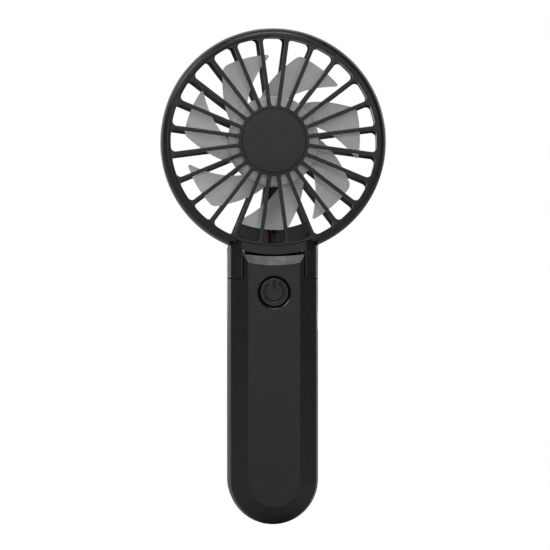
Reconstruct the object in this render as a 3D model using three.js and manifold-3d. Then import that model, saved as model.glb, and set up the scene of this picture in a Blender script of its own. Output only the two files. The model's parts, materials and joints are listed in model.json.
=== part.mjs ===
// A handheld folding mini fan: a round grille head hinged on a slim battery handle.
// Millimetres, +Z up along the handle, front towards -Y, origin under the handle's round end.
import * as THREE from 'three';
import { mergeVertices } from 'three/addons/utils/BufferGeometryUtils.js';
import Module from 'manifold-3d';

const wasm = await Module();
wasm.setup();

// ---------- driving dimensions ----------

const GAP = 0.3; // clearance left between pieces that touch
const WALL = 1.8; // casing wall

// Handle casing
const HALF_WIDTH = 19.3;
const HALF_DEPTH = 12.5;
const PANEL_HALF_WIDTH = 11; // flat front panel
const BEVEL_HALF_WIDTH = 18.2; // outer edge of the front bevels
const BEVEL_Y = -6.5;
const REAR_ROUND = 5;
const END_Z = HALF_WIDTH; // centre of the round bottom end
const DECK_Z = 104.7; // top of the shoulders
const SPLIT_Y = -0.65; // parting plane of the two casings

// Tongue that stands up in front of the hinge
const TONGUE_HALF_WIDTH = 12.7;
const TONGUE_TOP_Z = 114.3;
const TONGUE_TOP_RADIUS = 90;
const TONGUE_BACK_Y = SPLIT_Y - GAP / 2;
const TONGUE_BEVEL_RADII = [49, 52.8]; // about the head's axis, from the crest to the panel

// Head
const HEAD_Z = 163.3;
const RING_RADIUS = 48;
const CHIN_GAP = 0.2; // chin's overhang below the ring
const OPENING_OUTER = 43.7;
const OPENING_INNER = 14.8;
const OPENING_CORNER = 1.9;
const SPOKES = 24;
const FRONT_SPOKE_WIDTH = 1.6;
const REAR_SPOKE_WIDTH = 2.2;
const FRONT_Y = -10.3;
const REAR_Y = HALF_DEPTH;
const GRILLE_THICKNESS = 2;
const PLATE_RADIUS = 45; // front grille's flat plate, set into its rounded rim
const SHELF_RADIUS = 44.3; // inside of the rim's shelf that the plate rests on
const REAR_OPENING_OUTER = 45.1;
const REAR_PLATE_RADIUS = 46;
const REAR_SHELF_RADIUS = 45.4;
const RIM_DEPTH = 4.6;
const BAND_FRONT_Y = -5.35; // seams between the grilles and the band around the rotor
const BAND_BACK_Y = 7.75;
const BAND_END_X = 20;
const LIP_SEAM_Y = 1.45; // seam of the two walls under the rotor, between the band's ends
const RING_WALL = 2.2;
const RING_SEGMENTS = 48;
const CAP_RADIUS = 13.5;
const CAP_THICKNESS = 1.2;

// Hinge between the rear casing's two arms
const HINGE_Y = 6;
const HINGE_Z = 111.7;
const ARM_INNER_X = 13.3;
const ARM_RADIUS = 6.5;
const BARREL_RADIUS = 6;
const BARREL_HALF_LENGTH = 12;
const PIN_RADIUS = 2.5;
const EAR_BOTTOM_Z = 105.2;
const EAR_BACK_Y = -1.1;
const FOLD_CLEARANCE = 0.6;

// Rotor and motor
const BLADES = 7;
const HUB_RADIUS = 19.3;
const HUB_FRONT_Y = -7.2;
const HUB_BACK_Y = 2.4;
const BLADE_TIP_RADIUS = 38;
const BLADE_THICKNESS = 1.1;
const BLADE_FRONT_Y = -5.6;
const BLADE_BACK_Y = 3.6;
const MOTOR_RADIUS = 12;
const MOTOR_FRONT_Y = -2.6;
const MOTOR_BACK_Y = 7.4;
const MOTOR_CUP_RADIUS = 13.9;
const SHAFT_RADIUS = 1;
const STRUT_INNER_HALF_WIDTH = 3.3;
const STRUT_OUTER_HALF_WIDTH = 4.45;
const BLOCK_TOP_RADIUS = 37.1;
const BLOCK_FRONT_Y = 5;
const BLOCK_HALF_WIDTH = 15.2; // the block stays out of sight beyond the bottom three openings
const CHANNEL_HALF_WIDTH = 1.7; // way for the motor's leads
const CHANNEL_BACK_Y = 10.2;

// Electrics
const BUTTON_Z = 99.1;
const BUTTON_RADIUS = 6;
const BUTTON_HOLE_RADIUS = 6.7;
const CELL_RADIUS = 9.2;
const CELL_LENGTH = 65;
const CELL_BOTTOM_Z = 12.5;
const CELL_Y = 0.9;
const BOARD_FRONT_Y = -4.2;
const BOARD_THICKNESS = 1;
const USB_Z = 87;
const USB_HALF_HEIGHT = 4.47;
const USB_HALF_DEPTH = 1.6;
const USB_Y = BOARD_FRONT_Y + BOARD_THICKNESS + GAP + USB_HALF_DEPTH;
const WIRE_RADIUS = 0.5;

// Fasteners
const SCREW_RADIUS = 0.8;
const SCREW_HEAD_RADIUS = 1.8;
const SCREW_HEAD_HEIGHT = 1.3;
const SCREW_HOLE_RADIUS = SCREW_RADIUS + GAP;
const CASE_SCREW_X = 12.4;
const CASE_SCREW_HEIGHTS = [28, 97];
const MOTOR_SCREW_X = 6;
const HEAD_SCREW_X = 8.6;
const HEAD_SCREW_Z = 119 - HEAD_Z;
const SCREW_POST_RADIUS = 2.4;
const CASE_POST_RADIUS = 2.6;
const BOARD_POST_RADIUS = 2;
const BOARD_SCREWS = [[-7, 82.6], [6.5, 82.6]];

// ---------- materials ----------

const plastic = (color, roughness) =>
  new THREE.MeshStandardMaterial({ color, roughness, metalness: 0 });
const metal = (color, roughness) =>
  new THREE.MeshStandardMaterial({ color, roughness, metalness: 1 });

const satinBlack = () => plastic(0x2b2c2d, 0.5);
const frosted = () => plastic(0xaeb0b3, 0.45);
const steel = () => metal(0xb9bcc0, 0.35);
const brass = () => metal(0xc5a255, 0.35);

// ---------- solids ----------

// A closed geometry as a manifold solid with its faces pointing out.
function solid(geometry) {
  geometry.deleteAttribute('normal');
  geometry.deleteAttribute('uv');
  const merged = mergeVertices(geometry);
  const position = merged.attributes.position;
  const corners = [];
  let volume = 0;
  const a = new THREE.Vector3();
  const b = new THREE.Vector3();
  const c = new THREE.Vector3();
  for (let i = 0; i < merged.index.count; i += 3) {
    const [i0, i1, i2] = [0, 1, 2].map((k) => merged.index.getX(i + k));
    if (i0 === i1 || i1 === i2 || i2 === i0) continue;
    corners.push(i0, i1, i2);
    a.fromBufferAttribute(position, i0);
    b.fromBufferAttribute(position, i1);
    c.fromBufferAttribute(position, i2);
    volume += a.dot(b.cross(c));
  }
  if (volume < 0) corners.reverse();
  return new wasm.Manifold(new wasm.Mesh({
    numProp: 3,
    vertProperties: new Float32Array(position.array),
    triVerts: new Uint32Array(corners),
  }));
}

const union = (first, ...rest) => rest.reduce((whole, next) => whole.add(next), first);

// A named mesh of a manifold solid.
function part(name, shape, material) {
  const { numProp, vertProperties, triVerts } = shape.getMesh();
  const positions = new Float32Array((vertProperties.length / numProp) * 3);
  for (let i = 0; i < positions.length / 3; i += 1) {
    for (let k = 0; k < 3; k += 1) positions[3 * i + k] = vertProperties[numProp * i + k];
  }
  const geometry = new THREE.BufferGeometry();
  geometry.setAttribute('position', new THREE.BufferAttribute(positions, 3));
  geometry.setIndex(new THREE.BufferAttribute(new Uint32Array(triVerts), 1));
  geometry.computeVertexNormals();
  const mesh = new THREE.Mesh(geometry, material);
  mesh.name = name;
  return mesh;
}

const outline = (points) => new THREE.Shape(points.map(([x, y]) => new THREE.Vector2(x, y)));

function extruded(shape, depth, curveSegments = 24) {
  return new THREE.ExtrudeGeometry(shape, { depth, bevelEnabled: false, curveSegments });
}

// A shape drawn in X and Z, extruded from y0 to y1.
function alongY(shape, y0, y1, curveSegments) {
  return solid(extruded(shape, y1 - y0, curveSegments).rotateX(Math.PI / 2).translate(0, y1, 0));
}

// A shape drawn in X and Y, extruded from z0 to z1.
function alongZ(shape, z0, z1, curveSegments) {
  return solid(extruded(shape, z1 - z0, curveSegments).translate(0, 0, z0));
}

// A shape drawn in Y and Z, extruded from x0 to x1.
function alongX(shape, x0, x1, curveSegments) {
  const turn = new THREE.Matrix4().makeBasis(
    new THREE.Vector3(0, 1, 0),
    new THREE.Vector3(0, 0, 1),
    new THREE.Vector3(1, 0, 0),
  );
  const geometry = extruded(shape, x1 - x0, curveSegments).applyMatrix4(turn);
  return solid(geometry.translate(x0, 0, 0));
}

const box = (x0, x1, y0, y1, z0, z1) => solid(
  new THREE.BoxGeometry(x1 - x0, y1 - y0, z1 - z0)
    .translate((x0 + x1) / 2, (y0 + y1) / 2, (z0 + z1) / 2),
);

const diskY = (radius, y0, y1, x, z, segments = 24) => solid(
  new THREE.CylinderGeometry(radius, radius, y1 - y0, segments).translate(x, (y0 + y1) / 2, z),
);

const diskX = (radius, x0, x1, y, z, segments = 32) => solid(
  new THREE.CylinderGeometry(radius, radius, x1 - x0, segments)
    .rotateZ(Math.PI / 2).translate((x0 + x1) / 2, y, z),
);

const diskZ = (radius, z0, z1, x, y, segments = 32) => solid(
  new THREE.CylinderGeometry(radius, radius, z1 - z0, segments)
    .rotateX(Math.PI / 2).translate(x, y, (z0 + z1) / 2),
);

// A profile of [radius, y] points turned about the Y axis.
function turned(profile, segments = 72) {
  const points = profile.map(([radius, y]) => new THREE.Vector2(radius, y));
  return solid(new THREE.LatheGeometry(points, segments));
}

const ringY = (inner, outer, y0, y1, segments) =>
  turned([[inner, y0], [outer, y0], [outer, y1], [inner, y1], [inner, y0]], segments);

// A round wire along a smooth curve through points.
function wire(points, radius, steps) {
  const section = outline(circle(radius, 8));
  const path = new THREE.CatmullRomCurve3(points.map((p) => new THREE.Vector3(...p)));
  return solid(new THREE.ExtrudeGeometry(section, {
    extrudePath: path, steps, bevelEnabled: false,
  }));
}

// Points of an arc about (cx, cy), from angle a0 to a1 in degrees.
function arc(cx, cy, radius, a0, a1, count) {
  return Array.from({ length: count + 1 }, (_, i) => {
    const angle = THREE.MathUtils.degToRad(a0 + ((a1 - a0) * i) / count);
    return [cx + radius * Math.cos(angle), cy + radius * Math.sin(angle)];
  });
}

const circle = (radius, count) => arc(0, 0, radius, 0, 360 - 360 / count, count - 1);

const mirrored = (points) => points.map(([x, y]) => [-x, y]).reverse();

// ---------- handle casing ----------

// Right half of the handle's section from the middle of the front to the middle of the rear,
// with every face moved inwards by inset.
function halfSection(inset) {
  const corner = HALF_WIDTH - REAR_ROUND;
  const corners = [
    [0, -HALF_DEPTH],
    [PANEL_HALF_WIDTH, -HALF_DEPTH],
    [BEVEL_HALF_WIDTH, BEVEL_Y],
    [19, -3.8],
    [HALF_WIDTH, -0.8],
    ...arc(corner, HALF_DEPTH - REAR_ROUND, REAR_ROUND, 0, 90, 3),
    [0, HALF_DEPTH],
  ];
  const edges = corners.slice(1).map(([x, y], i) => {
    const [px, py] = corners[i];
    const length = Math.hypot(x - px, y - py);
    const normal = [(y - py) / length, (px - x) / length];
    return { normal, reach: normal[0] * x + normal[1] * y - inset };
  });
  const crossings = edges.slice(1).map((edge, i) => {
    const { normal: [a, b], reach: e } = edges[i];
    const { normal: [c, d], reach: f } = edge;
    const det = a * d - b * c;
    return [(e * d - b * f) / det, (a * f - e * c) / det];
  });
  return [[0, inset - HALF_DEPTH], ...crossings, [0, HALF_DEPTH - inset]];
}

// The handle's bar with its round lower end, up to top.
function bar(inset, top) {
  const half = halfSection(inset);
  const column = alongZ(outline([...half, ...mirrored(half).slice(1, -1)]), END_Z, top);
  const end = turned(half, 36).translate([0, 0, END_Z]);
  return union(column, end);
}

// Front casing's outline seen from the front, with the tongue.
function frontOutline() {
  const centre = TONGUE_TOP_Z + TONGUE_TOP_RADIUS;
  const sweep = THREE.MathUtils.radToDeg(Math.asin(TONGUE_HALF_WIDTH / TONGUE_TOP_RADIUS));
  return outline([
    [-30, -5], [30, -5], [30, DECK_Z], [TONGUE_HALF_WIDTH, DECK_Z],
    ...arc(0, centre, TONGUE_TOP_RADIUS, 270 + sweep, 270 - sweep, 8),
    [-TONGUE_HALF_WIDTH, DECK_Z], [-30, DECK_Z],
  ]);
}

// The sloping top of the tongue, a cone about the head's axis.
function tongueBevel() {
  const [crest, foot] = TONGUE_BEVEL_RADII;
  const slope = (HALF_DEPTH + FRONT_Y) / (foot - crest);
  const reach = (radius) => FRONT_Y - (radius - crest) * slope;
  const cone = turned([[47, reach(47)], [55, reach(55)], [47, reach(55)], [47, reach(47)]], 60);
  return cone.translate([0, 0, HEAD_Z]);
}

// Prism around the charging port, used to open both casings.
function portOpening() {
  const halfHeight = USB_HALF_HEIGHT + GAP;
  const halfDepth = USB_HALF_DEPTH + GAP;
  const straight = halfHeight - halfDepth;
  return alongX(outline([
    ...arc(USB_Y, USB_Z + straight, halfDepth, 0, 180, 8),
    ...arc(USB_Y, USB_Z - straight, halfDepth, 180, 360, 8),
  ]), 15, 25);
}

const caseScrewPlaces = CASE_SCREW_HEIGHTS.flatMap(
  (z) => [-1, 1].map((side) => [side * CASE_SCREW_X, z]),
);

function handleFrontShell() {
  const top = DECK_Z + 15;
  const faceY = TONGUE_BACK_Y;
  const whole = bar(0, top)
    .intersect(alongY(frontOutline(), -20, faceY))
    .subtract(tongueBevel());
  const hollow = bar(WALL, DECK_Z - WALL).intersect(box(-30, 30, -20, faceY + 1, -5, top));
  const tongueHollow = box(-10.6, 10.6, WALL - HALF_DEPTH, faceY - WALL, 90, 110);
  let shell = whole.subtract(union(hollow, tongueHollow));
  for (const [x, z] of caseScrewPlaces) {
    shell = shell.add(diskY(CASE_POST_RADIUS, -11.5, faceY, x, z, 20).intersect(whole));
    shell = shell.subtract(diskY(SCREW_HOLE_RADIUS, -6.6, 1, x, z, 16));
  }
  for (const [x, z] of BOARD_SCREWS) {
    shell = shell.add(diskY(BOARD_POST_RADIUS, -11.5, BOARD_FRONT_Y - GAP, x, z, 16));
    shell = shell.subtract(diskY(SCREW_HOLE_RADIUS, -9, -3, x, z, 12));
  }
  const chamfer = [[0, -10], [BUTTON_HOLE_RADIUS, -10], [BUTTON_HOLE_RADIUS, -12.1],
    [BUTTON_HOLE_RADIUS + 0.6, -12.7], [0, -12.7]];
  const buttonHole = turned(chamfer, 32).translate([0, 0, BUTTON_Z]);
  return shell.subtract(buttonHole).subtract(portOpening());
}

// Side outline of a hinge arm, in Y and Z, grown by extra.
function armOutline(extra) {
  const radius = ARM_RADIUS + extra;
  return outline([
    [HINGE_Y - radius, 80], [HINGE_Y + radius + 2, 80], [HINGE_Y + radius + 2, HINGE_Z],
    ...arc(HINGE_Y, HINGE_Z, radius, 0, 180, 16),
  ]);
}

function handleRearShell() {
  const faceY = SPLIT_Y + GAP / 2;
  const outer = bar(0, 130);
  const below = box(-30, 30, faceY, 20, -5, DECK_Z);
  const arms = union(
    alongX(armOutline(0), ARM_INNER_X, 30),
    alongX(armOutline(0), -30, -ARM_INNER_X),
  );
  const whole = outer.intersect(union(below, arms)).intersect(box(-30, 30, faceY, 20, -5, 130));
  const hollow = bar(WALL, DECK_Z - WALL).intersect(box(-30, 30, faceY - 1, 20, -5, 130));
  let shell = whole.subtract(hollow);
  for (const side of [-1, 1]) {
    const [near, far] = [side * 14.8, side * 17.8].sort((p, q) => p - q);
    shell = shell.subtract(box(near, far, 2.2, 9.8, 95, 115));
    const [inside, outside] = [side * 12, side * 15.5].sort((p, q) => p - q);
    shell = shell.subtract(diskX(PIN_RADIUS + GAP, inside, outside, HINGE_Y, HINGE_Z, 24));
  }
  for (const [x, z] of caseScrewPlaces) {
    shell = shell.add(diskY(CASE_POST_RADIUS, faceY, 11.5, x, z, 20));
    shell = shell.subtract(diskY(SCREW_HOLE_RADIUS, -2, 20, x, z, 16));
    shell = shell.subtract(diskY(SCREW_HEAD_RADIUS + GAP, 10.6, 20, x, z, 20));
  }
  return shell.subtract(portOpening());
}

// Screw along Y with its head's outer face at y, pointing to the front.
function screwY(name, x, y, z, length) {
  const head = diskY(SCREW_HEAD_RADIUS, y - SCREW_HEAD_HEIGHT, y, x, z, 16);
  const shank = diskY(SCREW_RADIUS, y - length, y - SCREW_HEAD_HEIGHT / 2, x, z, 8);
  const socket = diskY(0.9, y - 0.7, y + 1, x, z, 6);
  return part(name, union(head, shank).subtract(socket), steel());
}

// ---------- hinge ----------

function hingePin(side, hollow) {
  const [inner, middle, outer] = [8.6, 15.1, 15.9];
  const span = (a, b, radius) => {
    const [x0, x1] = [side * a, side * b].sort((p, q) => p - q);
    return diskX(radius, x0, x1, HINGE_Y, HINGE_Z, 24);
  };
  const pin = union(span(inner, outer, PIN_RADIUS), span(middle, outer, 3.3));
  return hollow ? pin.subtract(span(inner - 1, outer + 1, 1.5)) : pin;
}

function hingeWasher(side) {
  const [x0, x1] = [side * 12.3, side * 13].sort((p, q) => p - q);
  return diskX(5, x0, x1, HINGE_Y, HINGE_Z, 28)
    .subtract(diskX(PIN_RADIUS + GAP, x0 - 1, x1 + 1, HINGE_Y, HINGE_Z, 24));
}

// Space that the handle's arms and shoulders sweep as the head folds back, in head axes.
function foldSpace() {
  const y = HINGE_Y;
  const z = HINGE_Z - HEAD_Z;
  const reach = ARM_RADIUS + FOLD_CLEARANCE;
  const side = union(
    diskX(reach, ARM_INNER_X - 0.6, 30, y, z, 28),
    box(ARM_INNER_X - 0.6, 30, y - reach, 20, z - 30, z),
    box(ARM_INNER_X - 0.6, 30, y, 20, z - 30, z + reach),
  );
  return union(side, side.mirror([1, 0, 0]));
}

// ---------- head ----------

// One opening of a grille as a path, centred on angle, with straight parallel-sided spokes.
function grilleOpening(angle, inner, outer, spokeWidth) {
  const half = Math.PI / SPOKES;
  const edge = (radius) => half - Math.asin(spokeWidth / 2 / radius);
  const at = (radius, a) => new THREE.Vector2(
    radius * Math.sin(angle + a),
    radius * Math.cos(angle + a),
  );
  const path = new THREE.Path();
  const shoulder = outer - OPENING_CORNER;
  const corner = OPENING_CORNER / outer;
  const innerRound = 1.3;
  const start = at(inner + innerRound, -edge(inner + innerRound));
  path.moveTo(start.x, start.y);
  const lineTo = (p) => path.lineTo(p.x, p.y);
  const curveTo = (c, p) => path.quadraticCurveTo(c.x, c.y, p.x, p.y);
  lineTo(at(shoulder, -edge(shoulder)));
  curveTo(at(outer, -edge(outer)), at(outer, corner - edge(outer)));
  lineTo(at(outer, 0));
  lineTo(at(outer, edge(outer) - corner));
  curveTo(at(outer, edge(outer)), at(shoulder, edge(shoulder)));
  lineTo(at(inner + innerRound, edge(inner + innerRound)));
  curveTo(at(inner, edge(inner)), at(inner, 0));
  curveTo(at(inner, -edge(inner)), start);
  return path;
}

// Flat plate with the 24 openings.
function grillePlate(radius, inner, outer, spokeWidth, y0, y1, curveSegments) {
  const plate = outline(circle(radius, RING_SEGMENTS));
  for (let i = 0; i < SPOKES; i += 1) {
    const angle = (2 * Math.PI * i) / SPOKES;
    plate.holes.push(grilleOpening(angle, inner, outer, spokeWidth));
  }
  return alongY(plate, y0, y1, curveSegments);
}

// Rounded rim from the flat face to the seam with the band, with the shelf for the plate.
function rim(flat, seam, plateRadius, shelfRadius) {
  const side = Math.sign(flat);
  const inner = plateRadius + GAP;
  const shelf = flat - side * (GRILLE_THICKNESS + GAP);
  const rounded = [30, 60, 90].map((degrees) => {
    const a = THREE.MathUtils.degToRad(degrees);
    return [
      plateRadius + (RING_RADIUS - plateRadius) * Math.sin(a),
      flat - side * RIM_DEPTH * (1 - Math.cos(a)),
    ];
  });
  return turned([
    [inner, flat], ...rounded, [RING_RADIUS, seam], [shelfRadius, seam], [shelfRadius, shelf],
    [inner, shelf], [inner, flat],
  ], RING_SEGMENTS);
}

// Stretch of the ring's wall between the band's ends, in head axes.
function lip(y0, y1) {
  const half = BAND_END_X - GAP;
  return ringY(RING_RADIUS - RING_WALL, RING_RADIUS, y0, y1, RING_SEGMENTS)
    .intersect(box(-half, half, y0 - 1, y1 + 1, -60, -30));
}

// Chin and ears: the handle's section carried up in front of the hinge, in head axes.
function chinAndEars() {
  const plateBack = FRONT_Y + GRILLE_THICKNESS + GAP;
  const column = bar(0, 130).translate([0, 0, -HEAD_Z])
    .intersect(box(-30, 30, FRONT_Y, EAR_BACK_Y, EAR_BOTTOM_Z - HEAD_Z, 124 - HEAD_Z));
  const belowChin = diskY(60, -20, 20, 0, 0, RING_SEGMENTS)
    .subtract(diskY(RING_RADIUS + CHIN_GAP, -21, 21, 0, 0, RING_SEGMENTS));
  const slot = belowChin.intersect(box(-ARM_INNER_X, ARM_INNER_X, -20, 20, -70, -40));
  const inside = union(
    diskY(PLATE_RADIUS + GAP, -20, plateBack, 0, 0, RING_SEGMENTS),
    diskY(SHELF_RADIUS, -20, 20, 0, 0, RING_SEGMENTS),
  );
  return union(column.subtract(union(slot, inside)), lip(BAND_FRONT_Y - 1, LIP_SEAM_Y - GAP / 2));
}

// Material taken off the ring so that each ear's bevel runs up to a slanting crease.
function earCrease() {
  const bevel = new THREE.Vector2(BEVEL_HALF_WIDTH - PANEL_HALF_WIDTH, BEVEL_Y + HALF_DEPTH);
  const at = (x) => BEVEL_Y + ((x - BEVEL_HALF_WIDTH) * bevel.y) / bevel.x;
  const wedge = alongZ(outline([[12, at(12)], [12, -20], [24, -20], [24, at(24)]]), -60, -38);
  const below = alongY(outline([[13, -60], [24, -60], [24, -48.3], [18.7, -43.5], [14.4, -40.2],
    [13, -40.2]]), -20, 0);
  const cut = wedge.intersect(below);
  return union(cut, cut.mirror([1, 0, 0]));
}

// Plain band between the two grilles, open at the bottom for the chin and the hinge block.
function headBand() {
  const band = ringY(RING_RADIUS - RING_WALL, RING_RADIUS, BAND_FRONT_Y + GAP / 2,
    BAND_BACK_Y - GAP / 2, RING_SEGMENTS);
  return band.subtract(box(-BAND_END_X, BAND_END_X, -20, 20, -60, -30));
}

function headScrewPost(side, y0, y1, radius) {
  return diskY(radius, y0, y1, side * HEAD_SCREW_X, HEAD_SCREW_Z, 20);
}

function frontGrille() {
  const plate = grillePlate(PLATE_RADIUS, OPENING_INNER, OPENING_OUTER, FRONT_SPOKE_WIDTH, FRONT_Y,
    FRONT_Y + GRILLE_THICKNESS, 2);
  const seat = diskY(CAP_RADIUS + GAP, FRONT_Y - 1, FRONT_Y + CAP_THICKNESS - 0.2, 0, 0, 36);
  return plate.subtract(union(seat, earCrease()));
}

function frontRim() {
  const postFront = FRONT_Y + GRILLE_THICKNESS + GAP;
  let body = union(
    rim(FRONT_Y, BAND_FRONT_Y - GAP / 2, PLATE_RADIUS, SHELF_RADIUS),
    chinAndEars(),
  );
  for (const side of [-1, 1]) {
    body = body.add(headScrewPost(side, postFront, BLOCK_FRONT_Y - GAP, SCREW_POST_RADIUS));
    body = body.subtract(headScrewPost(side, postFront + 0.5, BLOCK_FRONT_Y, SCREW_HOLE_RADIUS));
  }
  const barrelSpace = diskX(BARREL_RADIUS + GAP, -ARM_INNER_X, ARM_INNER_X, HINGE_Y,
    HINGE_Z - HEAD_Z, 28);
  return body.subtract(union(earCrease(), foldSpace(), barrelSpace));
}

const grilleCap = () => turned([
  [0, FRONT_Y - 0.35], [9, FRONT_Y - 0.25], [CAP_RADIUS - 0.4, FRONT_Y], [CAP_RADIUS, FRONT_Y + 0.3],
  [CAP_RADIUS, FRONT_Y + 0.7], [0, FRONT_Y + 0.7],
], 36);

// Room of the block at the bottom of the ring, grown by a clearance, in head axes.
function blockRoom(clearance, y0, y1) {
  const half = BLOCK_HALF_WIDTH + clearance;
  return diskY(RING_RADIUS, y0, y1, 0, 0, RING_SEGMENTS)
    .subtract(diskY(BLOCK_TOP_RADIUS - clearance, y0 - 1, y1 + 1, 0, 0, RING_SEGMENTS))
    .intersect(box(-half, half, y0 - 1, y1 + 1, -50, -30));
}

// Strut from the motor's cup to the block, with a channel for the leads.
function strut() {
  const [inner, outer] = [STRUT_INNER_HALF_WIDTH, STRUT_OUTER_HALF_WIDTH];
  const body = alongY(outline([
    [-inner, -13], [-outer, -29], [-outer, -39], [outer, -39], [outer, -29], [inner, -13],
  ]), 6, REAR_Y - 0.3);
  return body.subtract(box(-CHANNEL_HALF_WIDTH, CHANNEL_HALF_WIDTH, 5, CHANNEL_BACK_Y, -39, -13.5));
}

function rearGrille() {
  const plate = grillePlate(REAR_PLATE_RADIUS, MOTOR_CUP_RADIUS, REAR_OPENING_OUTER, REAR_SPOKE_WIDTH,
    REAR_Y - GRILLE_THICKNESS, REAR_Y, 1);
  const cup = ringY(MOTOR_RADIUS + GAP, MOTOR_CUP_RADIUS + 0.3, 3.2, REAR_Y, 36);
  const leadExit = box(-2.1, 2.1, 8, CHANNEL_BACK_Y, -16, -11);
  let grille = union(plate, cup, strut()).subtract(union(leadExit, blockRoom(GAP, 0, REAR_Y + 1)));
  for (const side of [-1, 1]) {
    grille = grille.subtract(diskY(SCREW_HOLE_RADIUS, 9, 20, side * MOTOR_SCREW_X, 0, 16));
    grille = grille.subtract(diskY(SCREW_HEAD_RADIUS + GAP, 11.1, 20, side * MOTOR_SCREW_X, 0, 20));
  }
  return grille;
}

function rearRim() {
  const barrelZ = HINGE_Z - HEAD_Z;
  const barrel = diskX(BARREL_RADIUS, -BARREL_HALF_LENGTH, BARREL_HALF_LENGTH, HINGE_Y, barrelZ, 28);
  const web = box(-BARREL_HALF_LENGTH, BARREL_HALF_LENGTH, HINGE_Y - 4.4, HINGE_Y + 5.2,
    barrelZ, barrelZ + 6);
  let body = union(
    rim(REAR_Y, BAND_BACK_Y + GAP / 2, REAR_PLATE_RADIUS, REAR_SHELF_RADIUS),
    blockRoom(0, BLOCK_FRONT_Y, REAR_Y),
    lip(LIP_SEAM_Y + GAP / 2, BAND_BACK_Y + 1),
    barrel,
    web,
  );
  body = body.subtract(union(
    box(-CHANNEL_HALF_WIDTH, CHANNEL_HALF_WIDTH, HINGE_Y - 1.6, CHANNEL_BACK_Y, -52.6, -36),
    box(-CHANNEL_HALF_WIDTH, 8.5, HINGE_Y - 1.6, HINGE_Y + 1.6, barrelZ - 1.6, barrelZ + 1.6),
  ));
  for (const side of [-1, 1]) {
    const [x0, x1] = [side * 8.2, side * 13].sort((p, q) => p - q);
    body = body.subtract(diskX(PIN_RADIUS + GAP, x0, x1, HINGE_Y, barrelZ, 24));
    body = body.subtract(headScrewPost(side, 0, 20, SCREW_HOLE_RADIUS));
    body = body.subtract(headScrewPost(side, 10, 20, SCREW_HEAD_RADIUS + GAP));
    body = body.subtract(headScrewPost(side, 0, BLOCK_FRONT_Y, SCREW_POST_RADIUS + GAP));
  }
  return body.subtract(foldSpace());
}

// ---------- motor ----------

function motorCan() {
  const can = turned([
    [0, MOTOR_FRONT_Y - 0.7], [3, MOTOR_FRONT_Y - 0.7], [3, MOTOR_FRONT_Y], [10.8, MOTOR_FRONT_Y],
    [MOTOR_RADIUS, MOTOR_FRONT_Y + 1.2], [MOTOR_RADIUS, MOTOR_BACK_Y], [0, MOTOR_BACK_Y],
  ], 32);
  return can.subtract(diskY(SHAFT_RADIUS + GAP, -20, MOTOR_BACK_Y - 1.2, 0, 0, 16));
}

function motorEndBell() {
  const y0 = MOTOR_BACK_Y + GAP;
  let bell = union(
    diskY(MOTOR_RADIUS - 0.3, y0, y0 + 1.3, 0, 0, 32),
    diskY(8.4, y0 + 1, REAR_Y - GRILLE_THICKNESS - GAP, 0, 0, 32),
  );
  for (const side of [-1, 1]) {
    bell = bell.subtract(diskY(SCREW_HOLE_RADIUS, y0 + 0.5, 20, side * MOTOR_SCREW_X, 0, 16));
    bell = bell.subtract(box(side * 2.2 - 1.4, side * 2.2 + 1.4, y0 - 1, y0 + 4, -12.5, -8));
  }
  return bell;
}

const motorTerminal = (side) =>
  box(side * 2.4 - 0.8, side * 2.4 + 0.8, MOTOR_BACK_Y + GAP, MOTOR_BACK_Y + 0.9, -11.4, -8.3);

// ---------- rotor ----------

// Angles in degrees of a blade's leading and trailing edges at a radius.
const leadingAngle = (radius) => -13.3 + 2.285 * (radius - 20.5) - 0.0319 * (radius - 20.5) ** 2;
const trailingAngle = (radius) => 17.4 + 2.313 * (radius - 19.2) - 0.0287 * (radius - 19.2) ** 2;

// One blade: a flat slab bent into a pitched, swept and cambered sheet between the hub and the tip.
function blade(index) {
  const root = HUB_RADIUS - 0.8;
  const camber = 1.1;
  const geometry = new THREE.BoxGeometry(1, 1, 1, 6, 4, 1);
  const position = geometry.attributes.position;
  const turn = (2 * Math.PI * index) / BLADES;
  for (let i = 0; i < position.count; i += 1) {
    const across = (1 - Math.cos(Math.PI * (position.getX(i) + 0.5))) / 2;
    const along = position.getY(i) + 0.5;
    const corner = 1.1 * Math.max(0, 1 - across / 0.06) ** 2
      + 0.9 * Math.max(0, 1 - (1 - across) / 0.06) ** 2;
    const bow = 0.25 * Math.sin(Math.PI * across);
    const radius = root + (BLADE_TIP_RADIUS - 0.5 * across - bow - corner - root) * along;
    const leading = leadingAngle(radius);
    const angle = turn
      + THREE.MathUtils.degToRad(leading + (trailingAngle(radius) - leading) * across);
    const y = BLADE_FRONT_Y + (BLADE_BACK_Y - BLADE_FRONT_Y) * across
      + camber * Math.sin(Math.PI * across) + position.getZ(i) * BLADE_THICKNESS;
    position.setXYZ(i, radius * Math.sin(angle), y, radius * Math.cos(angle));
  }
  return solid(geometry);
}

function impeller() {
  const wall = 1.4;
  const cup = turned([
    [0, HUB_FRONT_Y], [HUB_RADIUS - 0.8, HUB_FRONT_Y], [HUB_RADIUS, HUB_FRONT_Y + 0.8],
    [HUB_RADIUS, HUB_BACK_Y], [HUB_RADIUS - wall, HUB_BACK_Y],
    [HUB_RADIUS - wall, HUB_FRONT_Y + wall], [4, HUB_FRONT_Y + wall], [4, MOTOR_FRONT_Y - 1.1],
    [0, MOTOR_FRONT_Y - 1.1],
  ], 42);
  const blades = Array.from({ length: BLADES }, (_, i) => blade(i));
  return union(cup, ...blades).subtract(diskY(2.4, HUB_FRONT_Y + 0.8, 5, 0, 0, 24));
}

const hubBush = () => ringY(SHAFT_RADIUS + GAP, 2.1, HUB_FRONT_Y + 1.1, MOTOR_FRONT_Y - 1.1, 24);
const motorShaft = () => diskY(SHAFT_RADIUS, HUB_FRONT_Y + 1.1, MOTOR_BACK_Y - 1.6, 0, 0, 16);

// ---------- button and electrics ----------

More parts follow.
